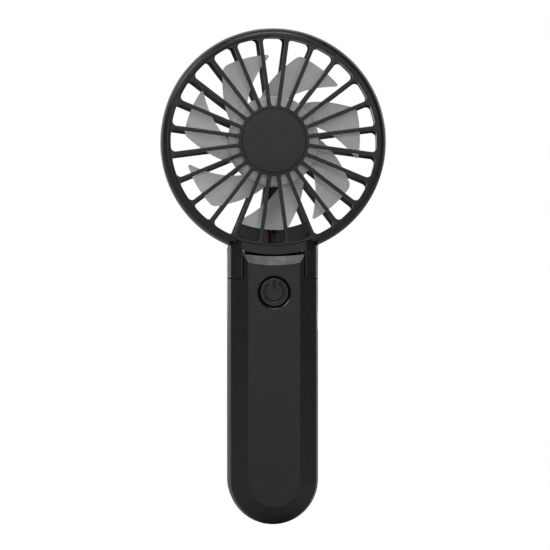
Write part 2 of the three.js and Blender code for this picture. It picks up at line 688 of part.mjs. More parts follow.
function powerButton() {
  const cap = turned([
    [0, -HALF_DEPTH], [4.6, -HALF_DEPTH], [BUTTON_RADIUS, 0.4 - HALF_DEPTH],
    [BUTTON_RADIUS, -10.4], [7.4, -10.4], [7.4, -9.6], [1.4, -9.6], [1.4, -9.1], [0, -9.1],
  ], 32);
  return cap.translate([0, 0, BUTTON_Z]);
}

function circuitBoard() {
  const edge = 9.4;
  const board = alongY(outline([
    [-edge, 79.6], [16.4, 79.6], [16.4, 92.6], [edge, 92.6], [edge, 102.2], [-edge, 102.2],
  ]), BOARD_FRONT_Y, BOARD_FRONT_Y + BOARD_THICKNESS);
  const holes = BOARD_SCREWS.map(([x, z]) => diskY(SCREW_HOLE_RADIUS, -8, 0, x, z, 12));
  return board.subtract(union(...holes));
}

function tactSwitch() {
  const y = BOARD_FRONT_Y - GAP;
  return union(
    box(-3, 3, y - 3.1, y, BUTTON_Z - 3, BUTTON_Z + 3),
    diskY(1.7, y - 3.8, y - 3, 0, BUTTON_Z, 20),
  );
}

function usbSocket() {
  const rounded = (halfHeight, halfDepth, x0, x1) => alongX(outline([
    ...arc(USB_Y, USB_Z + halfHeight - halfDepth, halfDepth, 0, 180, 8),
    ...arc(USB_Y, USB_Z - halfHeight + halfDepth, halfDepth, 180, 360, 8),
  ]), x0, x1);
  const wall = 0.3;
  return rounded(USB_HALF_HEIGHT, USB_HALF_DEPTH, 11, 18.7)
    .subtract(rounded(USB_HALF_HEIGHT - wall, USB_HALF_DEPTH - wall, 12.2, 20))
    .add(box(12, 18, USB_Y - 0.35, USB_Y + 0.35, USB_Z - 3.3, USB_Z + 3.3));
}

const batteryCell = () => union(
  diskZ(CELL_RADIUS, CELL_BOTTOM_Z, CELL_BOTTOM_Z + CELL_LENGTH, 0, CELL_Y, 36),
  diskZ(3.4, CELL_BOTTOM_Z, CELL_BOTTOM_Z + CELL_LENGTH + 0.7, 0, CELL_Y, 24),
);

function batteryTab(top) {
  const z = top ? CELL_BOTTOM_Z + CELL_LENGTH + 0.7 + GAP : CELL_BOTTOM_Z - GAP - 0.3;
  return box(-2.5, top ? 8 : 2.5, CELL_Y - 2.5, CELL_Y + 2.5, z, z + 0.3);
}

// ---------- assembly ----------

const fan = new THREE.Group();

const handle = new THREE.Group();
handle.add(part('handle_front_shell', handleFrontShell(), satinBlack()));
handle.add(part('handle_rear_shell', handleRearShell(), satinBlack()));
caseScrewPlaces.forEach(([x, z], i) => {
  handle.add(screwY(`case_screw_${i + 1}`, x, 12.1, z, 16));
});
handle.add(part('hinge_pin_left', hingePin(-1, false), steel()));
handle.add(part('hinge_pin_right', hingePin(1, true), steel()));
handle.add(part('hinge_washer_left', hingeWasher(-1), plastic(0xd9d6cc, 0.6)));
handle.add(part('hinge_washer_right', hingeWasher(1), plastic(0xd9d6cc, 0.6)));
handle.add(part('circuit_board', circuitBoard(), plastic(0x1f5a37, 0.5)));
BOARD_SCREWS.forEach(([x, z], i) => {
  handle.add(screwY(`board_screw_${i + 1}`, x, BOARD_FRONT_Y + BOARD_THICKNESS + GAP + 1.3, z, 6));
});
handle.add(part('tact_switch', tactSwitch(), plastic(0x3a3a3c, 0.5)));
handle.add(part('usb_socket', usbSocket(), steel()));
handle.add(part('battery_cell', batteryCell(), plastic(0x2f6fb3, 0.4)));
handle.add(part('battery_tab_positive', batteryTab(true), metal(0xc9cacb, 0.3)));
handle.add(part('battery_tab_negative', batteryTab(false), metal(0xc9cacb, 0.3)));

const boardBack = BOARD_FRONT_Y + BOARD_THICKNESS + GAP + WIRE_RADIUS;
handle.add(part('battery_wire_red', wire([
  [8.9, CELL_Y, 78.6], [9.6, CELL_Y - 0.4, 80], [9.4, -1.2, 84], [8.2, boardBack, 87.5],
  [6, boardBack, 90],
], WIRE_RADIUS, 8), plastic(0x9a2230, 0.5)));
handle.add(part('battery_wire_black', wire([
  [-3.1, CELL_Y, 11.3], [-6.4, -2.4, 11.1], [-8.9, -5.6, 11.6], [-9, -6.5, 14.5],
  [-8.7, -6.3, 22], [-8.6, -6.2, 45],
  [-8.6, -6.2, 68], [-10.4, -3.6, 75], [-10.4, -1.8, 81], [-8.8, boardBack, 88.5],
  [-6.5, boardBack, 91],
], WIRE_RADIUS, 15), plastic(0x1a1a1a, 0.5)));

// The motor's leads run down the strut, turn into the barrel and leave through the hollow pin.
const handleLead = (offset, landing) => wire([
  [13.9, HINGE_Y + offset, HINGE_Z], [15.7, HINGE_Y + offset, HINGE_Z],
  [16.8, HINGE_Y + offset, HINGE_Z - 0.5], [17.1, HINGE_Y + offset, HINGE_Z - 2],
  [17.1, HINGE_Y + offset, 107], [16.2, HINGE_Y + offset - 0.4, 103.4],
  [14.6, HINGE_Y - 2 + offset, 101.3], [10.5, 1 + offset, 100.7], [landing, boardBack, 99],
], WIRE_RADIUS, 15);
handle.add(part('handle_lead_red', handleLead(0.65, 4.4), plastic(0x9a2230, 0.5)));
handle.add(part('handle_lead_black', handleLead(-0.65, 7), plastic(0x1a1a1a, 0.5)));

const button = new THREE.Group();
button.add(part('power_button', powerButton(), satinBlack()));

const head = new THREE.Group();
head.position.set(0, 0, HEAD_Z);
head.add(part('front_grille', frontGrille(), satinBlack()));
head.add(part('front_rim', frontRim(), satinBlack()));
head.add(part('grille_cap', grilleCap(), plastic(0x3a3a3b, 0.6)));
head.add(part('head_band', headBand(), satinBlack()));
head.add(part('rear_grille', rearGrille(), satinBlack()));
head.add(part('rear_rim', rearRim(), satinBlack()));
head.add(part('motor_can', motorCan(), steel()));
head.add(part('motor_end_bell', motorEndBell(), plastic(0x1b1b1c, 0.6)));
[-1, 1].forEach((side, i) => {
  head.add(part(`motor_terminal_${i + 1}`, motorTerminal(side), brass()));
  head.add(screwY(`motor_screw_${i + 1}`, side * MOTOR_SCREW_X, 12.4, 0, 4.2));
  head.add(screwY(`head_screw_${i + 1}`, side * HEAD_SCREW_X, 11.5, HEAD_SCREW_Z, 17));
});
const headLead = (side, offset) => wire([
  [side * 2.2, 9, -10.2], [side * 1.1, 9.2, -12.6], [side * 0.8, 8.6, -18], [side * 0.75, 8.5, -26],
  [side * 0.75, 8.5, -36], [side * 0.75, 8.3, -45], [side * 0.75, 7.4, -49],
  [side * 0.5 + 0.6, HINGE_Y + offset, -51.2], [4, HINGE_Y + offset, HINGE_Z - HEAD_Z],
  [8, HINGE_Y + offset, HINGE_Z - HEAD_Z], [13.6, HINGE_Y + offset, HINGE_Z - HEAD_Z],
], WIRE_RADIUS, 22);
head.add(part('motor_wire_red', headLead(1, 0.65), plastic(0x9a2230, 0.5)));
head.add(part('motor_wire_black', headLead(-1, -0.65), plastic(0x1a1a1a, 0.5)));

const rotor = new THREE.Group();
rotor.add(part('impeller', impeller(), frosted()));
rotor.add(part('hub_bush', hubBush(), brass()));
rotor.add(part('motor_shaft', motorShaft(), steel()));
head.add(rotor);

fan.add(handle, button, head);

export default fan;
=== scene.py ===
import json
import math

import bmesh
import bpy
from mathutils import Matrix, Vector


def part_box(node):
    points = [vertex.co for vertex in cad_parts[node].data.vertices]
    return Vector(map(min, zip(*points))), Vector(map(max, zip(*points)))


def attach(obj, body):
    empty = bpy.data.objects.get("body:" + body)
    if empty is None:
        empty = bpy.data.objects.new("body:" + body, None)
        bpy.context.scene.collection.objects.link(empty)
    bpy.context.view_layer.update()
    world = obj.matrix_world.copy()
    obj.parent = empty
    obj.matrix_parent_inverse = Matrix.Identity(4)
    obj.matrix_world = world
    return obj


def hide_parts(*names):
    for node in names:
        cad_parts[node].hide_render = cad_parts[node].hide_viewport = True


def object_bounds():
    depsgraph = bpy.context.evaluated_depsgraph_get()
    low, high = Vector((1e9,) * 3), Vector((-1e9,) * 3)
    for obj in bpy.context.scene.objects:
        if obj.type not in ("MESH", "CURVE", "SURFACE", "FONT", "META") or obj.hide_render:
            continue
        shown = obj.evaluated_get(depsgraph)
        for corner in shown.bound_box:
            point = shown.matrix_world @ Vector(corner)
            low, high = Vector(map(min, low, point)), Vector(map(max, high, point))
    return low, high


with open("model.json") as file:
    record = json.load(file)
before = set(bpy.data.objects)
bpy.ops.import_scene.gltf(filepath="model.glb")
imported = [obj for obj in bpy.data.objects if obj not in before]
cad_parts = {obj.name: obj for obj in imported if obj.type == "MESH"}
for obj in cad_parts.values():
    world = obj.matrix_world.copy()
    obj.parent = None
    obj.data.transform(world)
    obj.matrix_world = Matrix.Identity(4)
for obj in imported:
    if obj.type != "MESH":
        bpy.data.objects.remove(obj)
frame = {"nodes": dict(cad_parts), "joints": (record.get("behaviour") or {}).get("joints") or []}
cad_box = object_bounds()

# ---------- places and sizes, in millimetres, read from the frame ----------

MM = 0.001


def node_box(name):
    low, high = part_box(name)
    return Vector(low) / MM, Vector(high) / MM


def joint_place(name):
    joint = next(j for j in frame["joints"] if j["name"] == name)
    return Vector(joint["pos_m"]) / MM


HEAD = joint_place("rotor_spin")
HINGE = joint_place("head_fold")
FRONT_HIGH = node_box("handle_front_shell")[1]
REAR_LOW, REAR_HIGH = node_box("handle_rear_shell")
GRILLE_LOW = node_box("front_grille")[0]
RIM_LOW = node_box("front_rim")[0]
BAND_LOW, BAND_HIGH = node_box("head_band")
CAP_LOW, CAP_HIGH = node_box("grille_cap")
BUTTON_LOW, BUTTON_HIGH = node_box("power_button")
HUB_LOW = node_box("impeller")[0]

HALF_WIDTH = FRONT_HIGH.x
HALF_DEPTH = REAR_HIGH.y
RING_RADIUS = BAND_HIGH.x
FRONT_FACE = GRILLE_LOW.y
BUTTON_Z = (BUTTON_LOW.z + BUTTON_HIGH.z) / 2
CAP_RADIUS = CAP_HIGH.x
EAR_BOTTOM = RIM_LOW.z

HEAD_CENTRE = (0, 0, HEAD.z)
HINGE_CENTRE = (0, HINGE.y, HINGE.z)

# Between neighbouring pieces
GAP = 0.3
CHIN_GAP = 0.2

# Reaches of the cutting shapes, past everything that they cut
WIDE = 30
DEEP = 20
BELOW = -5
ABOVE = 130

# Handle: its section, its top and the tongue
WALL = 1.8
PANEL_HALF_WIDTH = 11
BEVEL_HALF_WIDTH = 18.2
BEVEL_Y = -6.5
SIDE_START_Y = -2.2
SIDE_ROUND = 6
REAR_ROUND = 5
DECK_Z = 104.7
TONGUE_HALF_WIDTH = 12.7
TONGUE_TOP_Z = 114.3
TONGUE_TOP_RADIUS = 90
TONGUE_BEVEL_START = 49
TONGUE_BEVEL_RUN = 3.8
ARM_INNER_X = 13.3
ARM_RADIUS = 6.5

# Lips that close the seams from inside
LIP_GAP = 0.05
LIP_WALL = 0.6
LIP_DEPTH = 1.5

# Button
BUTTON_RADIUS = 6
BUTTON_FLANGE_RADIUS = 7.3
BUTTON_HOLE_RADIUS = 6.7
MARK_RADIUS = 4
MARK_GROOVE = 0.64
MARK_OPEN_ANGLE = 27

# Screws and hinge pins
SCREW_POST = 2.6
SCREW_WELL = 2.1
SCREW_HOLE = 1.1
CASE_WELL_DEPTH = 1.5
MOTOR_WELL_DEPTH = 1.3
PIN_BORE = 2.8

# Head: grilles, rims and the block at the bottom
SPOKES = 24
OPENING_OUTER = 43.7
OPENING_INNER = 14.8
REAR_OPENING_OUTER = 45.2
REAR_OPENING_INNER = 14.2
FRONT_SPOKE_WIDTH = 1.6
REAR_SPOKE_WIDTH = 2.2
OPENING_OUTER_CORNER = 1.9
OPENING_INNER_ROUND = 1.0
GRILLE_THICKNESS = 2
RING_WALL = 2.2
RING_SEGMENTS = 192
FRONT_PLATE_RADIUS = 44.6
FRONT_FLAT_RADIUS = 44.8
REAR_PLATE_RADIUS = 45.65
REAR_FLAT_RADIUS = 46
RIM_DEPTH = 4.6
BAND_EDGE = 0.25
EAR_BACK_Y = -1.1
FOLD_REACH = 7.1
BARREL_RADIUS = 6
BARREL_HALF_WIDTH = 12
BLOCK_TOP_RADIUS = 37.1
BLOCK_HALF_WIDTH = 15.2
GAP_HALF_WIDTH = 20
MOTOR_CUP_INNER = 12.3
MOTOR_CUP_OUTER = 14.2
MOTOR_CUP_FRONT = 3.2
CHANNEL_HALF_WIDTH = 1.7
CHANNEL_FLOOR_Y = 10.2
PIN_CHANNEL = 1.6
LEAD_RADIUS = 0.5

# Rotor: a blade's edges are angles in degrees at a radius, then their slope and bend outwards
BLADES = 7
HUB_RADIUS = 19.3
HUB_WALL = 1.4
BLADE_TIP_RADIUS = 38
BLADE_THICKNESS = 1.1
BLADE_FRONT_Y = -5.6
BLADE_BACK_Y = 3.6
LEADING_EDGE = (20.5, -13.3, 2.285, -0.0319)
TRAILING_EDGE = (19.2, 17.4, 2.313, -0.0287)


# ---------- mesh helpers ----------

def link(name, mesh):
    piece = bpy.data.objects.new(name, mesh)
    bpy.context.scene.collection.objects.link(piece)
    return piece


def solid(name, points, faces):
    """An object from points in millimetres, merged and with its faces pointing out."""
    mesh = bpy.data.meshes.new(name)
    mesh.from_pydata([[c * MM for c in p] for p in points], [], faces)
    work = bmesh.new()
    work.from_mesh(mesh)
    bmesh.ops.remove_doubles(work, verts=work.verts, dist=1e-7)
    bmesh.ops.dissolve_degenerate(work, edges=work.edges, dist=1e-8)
    bmesh.ops.recalc_face_normals(work, faces=work.faces)
    work.to_mesh(mesh)
    work.free()
    return link(name, mesh)


def grid_faces(rows, columns, closed_rows=False, closed_columns=False):
    faces = []
    for i in range(rows if closed_rows else rows - 1):
        for j in range(columns if closed_columns else columns - 1):
            a, b = i * columns + j, i * columns + (j + 1) % columns
            c, d = ((i + 1) % rows) * columns + (j + 1) % columns, ((i + 1) % rows) * columns + j
            faces.append((a, b, c, d))
    return faces


def turned(name, profile, segments=96, centre=(0, 0, 0), axis="Y"):
    """A profile of (radius, along) points turned about an axis through centre."""
    closed = profile[0] == profile[-1]
    outline = profile[:-1] if closed else profile
    points = []
    for i in range(segments):
        angle = 2 * math.pi * i / segments
        c, s = math.cos(angle), math.sin(angle)
        for radius, along in outline:
            place = {
                "X": (along, radius * c, radius * s),
                "Y": (radius * c, along, radius * s),
                "Z": (radius * c, radius * s, along),
            }[axis]
            points.append([p + q for p, q in zip(place, centre)])
    faces = grid_faces(segments, len(outline), closed_rows=True, closed_columns=closed)
    return solid(name, points, faces)


def disk(radius, low, high, centre=(0, 0, 0), axis="Y", segments=64):
    """A round solid about an axis through centre."""
    middle = [c for c, name in zip(centre, "XYZ") if name != axis]
    return prism(arc(middle, radius, 0, 360 - 360 / segments, segments - 1), low, high, axis)


def prism(outline, low, high, axis="Y"):
    """A flat outline pushed along an axis, drawn in that axis's two other coordinates."""
    def place(p, along):
        return {"Y": (p[0], along, p[1]), "Z": (p[0], p[1], along), "X": (along, p[0], p[1])}[axis]
    count = len(outline)
    points = [place(p, low) for p in outline] + [place(p, high) for p in outline]
    faces = [tuple(range(count)), tuple(range(count, 2 * count))]
    faces += [(i, (i + 1) % count, count + (i + 1) % count, count + i) for i in range(count)]
    return solid("prism", points, faces)


def block(x0, x1, y0, y1, z0, z1):
    return prism([(x0, z0), (x1, z0), (x1, z1), (x0, z1)], y0, y1)


def slab(y0, y1):
    """Everything of the handle between two depths."""
    return block(-WIDE, WIDE, y0, y1, BELOW, ABOVE)


def span(side, near, far):
    """Two distances from the middle plane, as ordered places on one side of it."""
    return sorted((side * near, side * far))


def arc(centre, radius, start, end, steps):
    angles = [math.radians(start + (end - start) * i / steps) for i in range(steps + 1)]
    return [(centre[0] + radius * math.cos(a), centre[1] + radius * math.sin(a)) for a in angles]


def rounded(corners, radii, closed=False, steps=5):
    """An outline with each corner rounded to its own radius."""
    count = len(corners)
    result = []
    for i, (corner, radius) in enumerate(zip(corners, radii)):
        if radius <= 0 or (not closed and i in (0, count - 1)):
            result.append(tuple(corner))
            continue
        here = Vector(corner)
        back = (Vector(corners[i - 1]) - here).normalized()
        ahead = (Vector(corners[(i + 1) % count]) - here).normalized()
        half = back.angle(ahead) / 2
        reach = radius / math.tan(half)
        middle = here + (back + ahead).normalized() * (radius / math.sin(half))
        first, last = here + back * reach - middle, here + ahead * reach - middle
        turn = first.angle_signed(last)
        for k in range(steps + 1):
            result.append(tuple(middle + Matrix.Rotation(-turn * k / steps, 2) @ first))
    return result


def apply_modifiers(piece):
    bpy.context.view_layer.update()
    done = bpy.data.meshes.new_from_object(piece.evaluated_get(bpy.context.evaluated_depsgraph_get()))
    old = piece.data
    piece.modifiers.clear()
    piece.data = done
    bpy.data.meshes.remove(old)


def combine(piece, other, operation, touching=False):
    """Joins, cuts or keeps the common part of two solids; touching allows for shells that touch."""
    boolean = piece.modifiers.new("boolean", "BOOLEAN")
    boolean.operation = operation
    boolean.solver = "EXACT"
    boolean.use_self = touching
    boolean.object = other
    apply_modifiers(piece)
    mesh = other.data
    bpy.data.objects.remove(other)
    bpy.data.meshes.remove(mesh)
    return piece


def join(piece, *others, touching=False):
    for other in others:
        combine(piece, other, "UNION", touching)
    return piece


def cut(piece, *others, touching=False):
    for other in others:
        combine(piece, other, "DIFFERENCE", touching)
    return piece


def keep(piece, other):
    return combine(piece, other, "INTERSECT")


def mirrored(piece):
    """The piece turned over to the other side of the middle plane."""
    piece.data.transform(Matrix.Scale(-1, 4, (1, 0, 0)))
    piece.data.flip_normals()
    return piece


def soften(piece, width=0.2, angle=24, segments=2):
    """Rounds the sharp edges by a fraction of a millimetre."""
    clean(piece)
    flatten(piece)
    bevel = piece.modifiers.new("edges", "BEVEL")
    bevel.width = width * MM
    bevel.segments = segments
    bevel.limit_method = "ANGLE"
    bevel.angle_limit = math.radians(angle)
    bevel.miter_outer = "MITER_ARC"
    apply_modifiers(piece)
    clean(piece)
    return piece


def flatten(piece):
    """Turns the fragments of each flat face into one face."""
    work = bmesh.new()
    work.from_mesh(piece.data)
    bmesh.ops.dissolve_limit(work, angle_limit=math.radians(0.03), verts=work.verts, edges=work.edges)
    work.to_mesh(piece.data)
    work.free()


def clean(piece, dist=2e-6):
    """Merges double points and drops slivers and loose points."""
    work = bmesh.new()
    work.from_mesh(piece.data)
    bmesh.ops.remove_doubles(work, verts=work.verts, dist=dist)
    bmesh.ops.dissolve_degenerate(work, edges=work.edges, dist=dist / 2)
    loose = [v for v in work.verts if not v.link_faces]
    bmesh.ops.delete(work, geom=loose, context="VERTS")
    work.to_mesh(piece.data)
    work.free()


def smooth(piece, angle=35):
    """Smooth shading across fine steps, with flat faces kept flat."""
    mesh = piece.data
    mesh.polygons.foreach_set("use_smooth", [True] * len(mesh.polygons))
    mesh.set_sharp_from_angle(angle=math.radians(angle))
    weights = piece.modifiers.new("normals", "WEIGHTED_NORMAL")
    weights.keep_sharp = True
    weights.weight = 60


def finished(piece, name, material, body, slot, *nodes):
    """Names the piece, gives it its material and puts it in place of CAD nodes."""
    piece.name = name
    piece.data.name = name
    piece.data.materials.clear()
    piece.data.materials.append(material)
    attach(piece, body)
    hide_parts(*nodes)
    return piece


# ---------- materials ----------

class Nodes:
    """A material's node tree with its Principled shader, and short calls to add nodes."""

    def __init__(self, name, **sockets):
        self.material = bpy.data.materials.new(name)
        self.material.use_nodes = True
        self.tree = self.material.node_tree
        self.shader = self.tree.nodes["Principled BSDF"]
        for socket, value in sockets.items():
            self.shader.inputs[socket.replace("_", " ")].default_value = value
        self.place = self.add("ShaderNodeTexCoord").outputs["Object"]

    def add(self, kind, **settings):
        node = self.tree.nodes.new(kind)
        for key, value in settings.items():
            if key in node.inputs:
                node.inputs[key].default_value = value
            else:
                setattr(node, key, value)
        return node

    def wire(self, source, target):
        self.tree.links.new(source, target)

    def noise(self, scale, detail=3.0, stretch=(1, 1, 1)):
        mapping = self.add("ShaderNodeMapping")
        mapping.inputs["Scale"].default_value = stretch
        self.wire(self.place, mapping.inputs["Vector"])
        noise = self.add("ShaderNodeTexNoise", Scale=scale, Detail=detail)
        self.wire(mapping.outputs["Vector"], noise.inputs["Vector"])
        return noise.outputs["Fac"]

    def spread(self, value, low, high, span=(0.3, 0.7)):
        remap = self.add("ShaderNodeMapRange")
        for socket, number in zip(("From Min", "From Max", "To Min", "To Max"), (*span, low, high)):
            remap.inputs[socket].default_value = number
        self.wire(value, remap.inputs["Value"])
        return remap.outputs["Result"]

    def colours(self, value, first, second, span=(0.3, 0.7)):
        ramp = self.add("ShaderNodeValToRGB")
        for stop, place, colour in zip(ramp.color_ramp.elements, span, (first, second)):
            stop.position = place
            stop.color = (*colour, 1)
        self.wire(value, ramp.inputs["Fac"])
        self.wire(ramp.outputs["Color"], self.shader.inputs["Base Color"])

    def roughness(self, value, low, high):
        self.wire(self.spread(value, low, high), self.shader.inputs["Roughness"])

    def bumps(self, *layers):
        """Layers of (height, strength, distance in millimetres), the first one lowest."""
        below = None
        for value, strength, distance in layers:
            bump = self.add("ShaderNodeBump", Strength=strength, Distance=distance * MM)
            self.wire(value, bump.inputs["Height"])
            if below:
                self.wire(below, bump.inputs["Normal"])
            below = bump.outputs["Normal"]
        self.wire(below, self.shader.inputs["Normal"])


def moulded(name, dark, light, rough, grain=0.25):
    """Moulded plastic with a fine spark-eroded grain and faint handling marks."""
    m = Nodes(name)
    broad = m.noise(55, 4)
    fine = m.noise(5200, 2)
    handled = m.noise(240, 6)
    m.colours(broad, dark, light)
    m.roughness(handled, rough - 0.06, rough + 0.07)
    m.bumps((handled, 0.05, 0.02), (fine, grain, 0.02))
    return m.material


def frosted_plastic():
    """Frosted translucent moulding, slightly cloudy inside."""
    m = Nodes("frosted", Transmission_Weight=0.45, IOR=1.45, Specular_IOR_Level=0.45,
              Subsurface_Weight=0.2, Subsurface_Scale=0.003)
    cloudy = m.noise(90, 5)
    frost = m.noise(4200, 2)
    m.colours(cloudy, (0.82, 0.83, 0.85), (0.88, 0.89, 0.9))
    m.roughness(frost, 0.3, 0.4)
    m.bumps((cloudy, 0.06, 0.05), (frost, 0.3, 0.02))
    return m.material


def worked_metal(name, dark, light, rough, stretch):
    """Metal with fine lines from its working and a faint stain."""
    m = Nodes(name, Metallic=1.0)
    lines = m.noise(1400, 4, stretch)
    stain = m.noise(160, 5)
    m.colours(stain, dark, light)
    m.roughness(lines, rough - 0.08, rough + 0.1)
    m.bumps((lines, 0.2, 0.01))
    return m.material


def circuit_green():
    """Solder mask with the traces' low relief."""
    m = Nodes("solder_mask")
    brick = m.add("ShaderNodeTexBrick", Scale=420.0)
    m.wire(m.place, brick.inputs["Vector"])
    stain = m.noise(300, 4)
    m.colours(stain, (0.008, 0.07, 0.025), (0.015, 0.11, 0.04))
    m.roughness(stain, 0.3, 0.45)
    m.bumps((brick.outputs["Fac"], 0.3, 0.03))
    return m.material


BLACK = moulded("satin_black", (0.0075, 0.0078, 0.0082), (0.0095, 0.0098, 0.0102), 0.3, 0.12)
CAP_GREY = moulded("cap_grey", (0.019, 0.019, 0.0192), (0.023, 0.023, 0.0232), 0.5, 0.3)
BUTTON_BLACK = moulded("button_black", (0.0085, 0.0088, 0.0092), (0.0105, 0.0107, 0.011), 0.3, 0.1)
DARK_PLASTIC = moulded("dark_plastic", (0.008, 0.008, 0.008), (0.013, 0.013, 0.013), 0.55)
NYLON = moulded("nylon", (0.62, 0.6, 0.54), (0.7, 0.68, 0.62), 0.5)
RED_LEAD = moulded("red_lead", (0.36, 0.012, 0.03), (0.44, 0.02, 0.04), 0.45, 0.05)
BLACK_LEAD = moulded("black_lead", (0.006, 0.006, 0.006), (0.011, 0.011, 0.011), 0.45, 0.05)
CELL_WRAP = moulded("cell_wrap", (0.01, 0.09, 0.32), (0.014, 0.12, 0.4), 0.3, 0.05)
FROSTED = frosted_plastic()
STEEL = worked_metal("steel", (0.5, 0.5, 0.51), (0.62, 0.62, 0.63), 0.32, (1, 12, 1))
NICKEL = worked_metal("nickel", (0.6, 0.59, 0.56), (0.72, 0.7, 0.67), 0.25, (1, 1, 8))
BRASS = worked_metal("brass", (0.56, 0.38, 0.12), (0.68, 0.47, 0.16), 0.3, (6, 1, 6))
SOLDER_MASK = circuit_green()


# ---------- handle ----------

def half_section(inset, soft):
    """Right half of the handle's section, from the middle of the front to the middle of the rear."""
    turn = math.tan(math.atan2(BEVEL_Y + HALF_DEPTH, BEVEL_HALF_WIDTH - PANEL_HALF_WIDTH) / 2)
    corners = [
        (0, inset - HALF_DEPTH),
        (PANEL_HALF_WIDTH - inset * turn, inset - HALF_DEPTH),
        (BEVEL_HALF_WIDTH - inset, BEVEL_Y + inset * 0.4),
        (HALF_WIDTH - inset, SIDE_START_Y),
        (HALF_WIDTH - inset, HALF_DEPTH - inset),
        (0, HALF_DEPTH - inset),
    ]
    return rounded(corners, [0, soft, 2 * soft, SIDE_ROUND, REAR_ROUND - inset, 0], steps=7)


def bar(inset, top, soft=0.45, turn_steps=72):
    """The handle's bar with its round lower end, as one closed solid."""
    section = half_section(inset, soft)
    stations = [(1, 0, top)]
    for i in range(turn_steps + 1):
        angle = math.pi * i / turn_steps
        stations.append((math.cos(angle), -math.sin(angle), HALF_WIDTH))
    stations.append((-1, 0, top))
    points = [(c * x, y, z + s * x) for c, s, z in stations for x, y in section]
    faces = grid_faces(len(stations), len(section))
    last = (len(stations) - 1) * len(section)
    top_right = list(range(len(section)))
    top_left = [last + i for i in range(len(section) - 2, 0, -1)]
    return solid("bar", points, faces + [tuple(top_right + top_left)])


def front_outline():
    """The front casing as seen from the front, with the tongue between the hinge arms."""
    centre = (0, TONGUE_TOP_Z + TONGUE_TOP_RADIUS)
    sweep = math.degrees(math.asin(TONGUE_HALF_WIDTH / TONGUE_TOP_RADIUS))
    top = arc(centre, TONGUE_TOP_RADIUS, 270 - sweep, 270 + sweep, 16)
    left, right = top[0], top[-1]
    corners = [(-WIDE, BELOW), (-WIDE, DECK_Z), (-TONGUE_HALF_WIDTH, DECK_Z), left, *top[1:-1], right,
               (TONGUE_HALF_WIDTH, DECK_Z), (WIDE, DECK_Z), (WIDE, BELOW)]
    radii = [0, 0, 0.5, 0.6] + [0] * len(top[1:-1]) + [0.6, 0.5, 0, 0]
    return rounded(corners, radii, closed=True)


def tongue_bevel():
    """What the slanting face at the tongue's top leaves off, a cone about the head's axis."""
    slope = (HALF_DEPTH + FRONT_FACE) / TONGUE_BEVEL_RUN
    near, far = TONGUE_BEVEL_START - 3, TONGUE_BEVEL_START + 7
    high, low = (FRONT_FACE - (r - TONGUE_BEVEL_START) * slope for r in (near, far))
    return turned("cone", [(near, high), (far, low), (near, low), (near, high)], 256, HEAD_CENTRE)


def port_opening():
    """Slot with round ends, a little larger all round than the charging socket."""
    margin = 0.25
    low, high = node_box("usb_socket")
    middle_y, half = (low.y + high.y) / 2, (high.y - low.y) / 2 + margin
    top, bottom = high.z - half + margin, low.z + half - margin
    outline = arc((middle_y, top), half, 0, 180, 16) + arc((middle_y, bottom), half, 180, 360, 16)
    return prism(outline, 14, WIDE, "X")


def screw_places(*names):
    """Each screw's centre line and the depth of its head's outer face."""
    for name in names:
        low, high = node_box(name)
        middle = (low + high) / 2
        yield (middle.x, 0, middle.z), high.y


def make_front_casing():
    seam = FRONT_HIGH.y
    shell = keep(bar(0, ABOVE), prism(front_outline(), -DEEP, seam))
    cut(shell, tongue_bevel())
    lip_inset, inner_inset = WALL + LIP_GAP, WALL + LIP_WALL
    join(shell, keep(bar(lip_inset, DECK_Z - lip_inset), slab(seam - 1, seam + LIP_DEPTH)))
    inner = keep(bar(WALL, DECK_Z - WALL), slab(-DEEP, seam - LIP_DEPTH))
    join(inner, keep(bar(inner_inset, DECK_Z - inner_inset),
                     slab(seam - LIP_DEPTH - 0.1, seam + LIP_DEPTH + 1)))
    join(inner, block(-10.6, 10.6, WALL - HALF_DEPTH, seam - WALL, 90, 110))
    cut(shell, inner, port_opening())
    # Ribs beside the tongue, which keep light out of the slot: inner and outer x, front y, bottom and top z
    back = 0.6
    ribs = (
        (12.2, 12.6, seam - 1, 101, TONGUE_TOP_Z),
        (12.4, 13.4, seam + 0.05, 101, 111),
        (12.4, 13.2, seam + 0.05, 110.9, 116.6),
    )
    for side in (-1, 1):
        for near, far, front, low, high in ribs:
            join(shell, block(*span(side, near, far), front, back, low, high))
    hole = [(0, -9), (BUTTON_HOLE_RADIUS, -9), (BUTTON_HOLE_RADIUS, -12.05),
            (BUTTON_HOLE_RADIUS + 0.7, -12.575), (0, -12.575)]
    cut(shell, turned("hole", hole, 128, (0, 0, BUTTON_Z)))
    soften(shell, 0.15)
    smooth(shell, 14.5)
    return finished(shell, "front_casing", BLACK, "handle", "satin_black", "handle_front_shell")


def arm_outline():
    """Side view of a hinge arm, round at the top about the hinge."""
    y, z = HINGE.y, HINGE.z
    return [(y - ARM_RADIUS, 80), (WIDE, 80), (WIDE, z), (y + ARM_RADIUS, z),
            *arc((y, z), ARM_RADIUS, 0, 180, 40)[1:]]


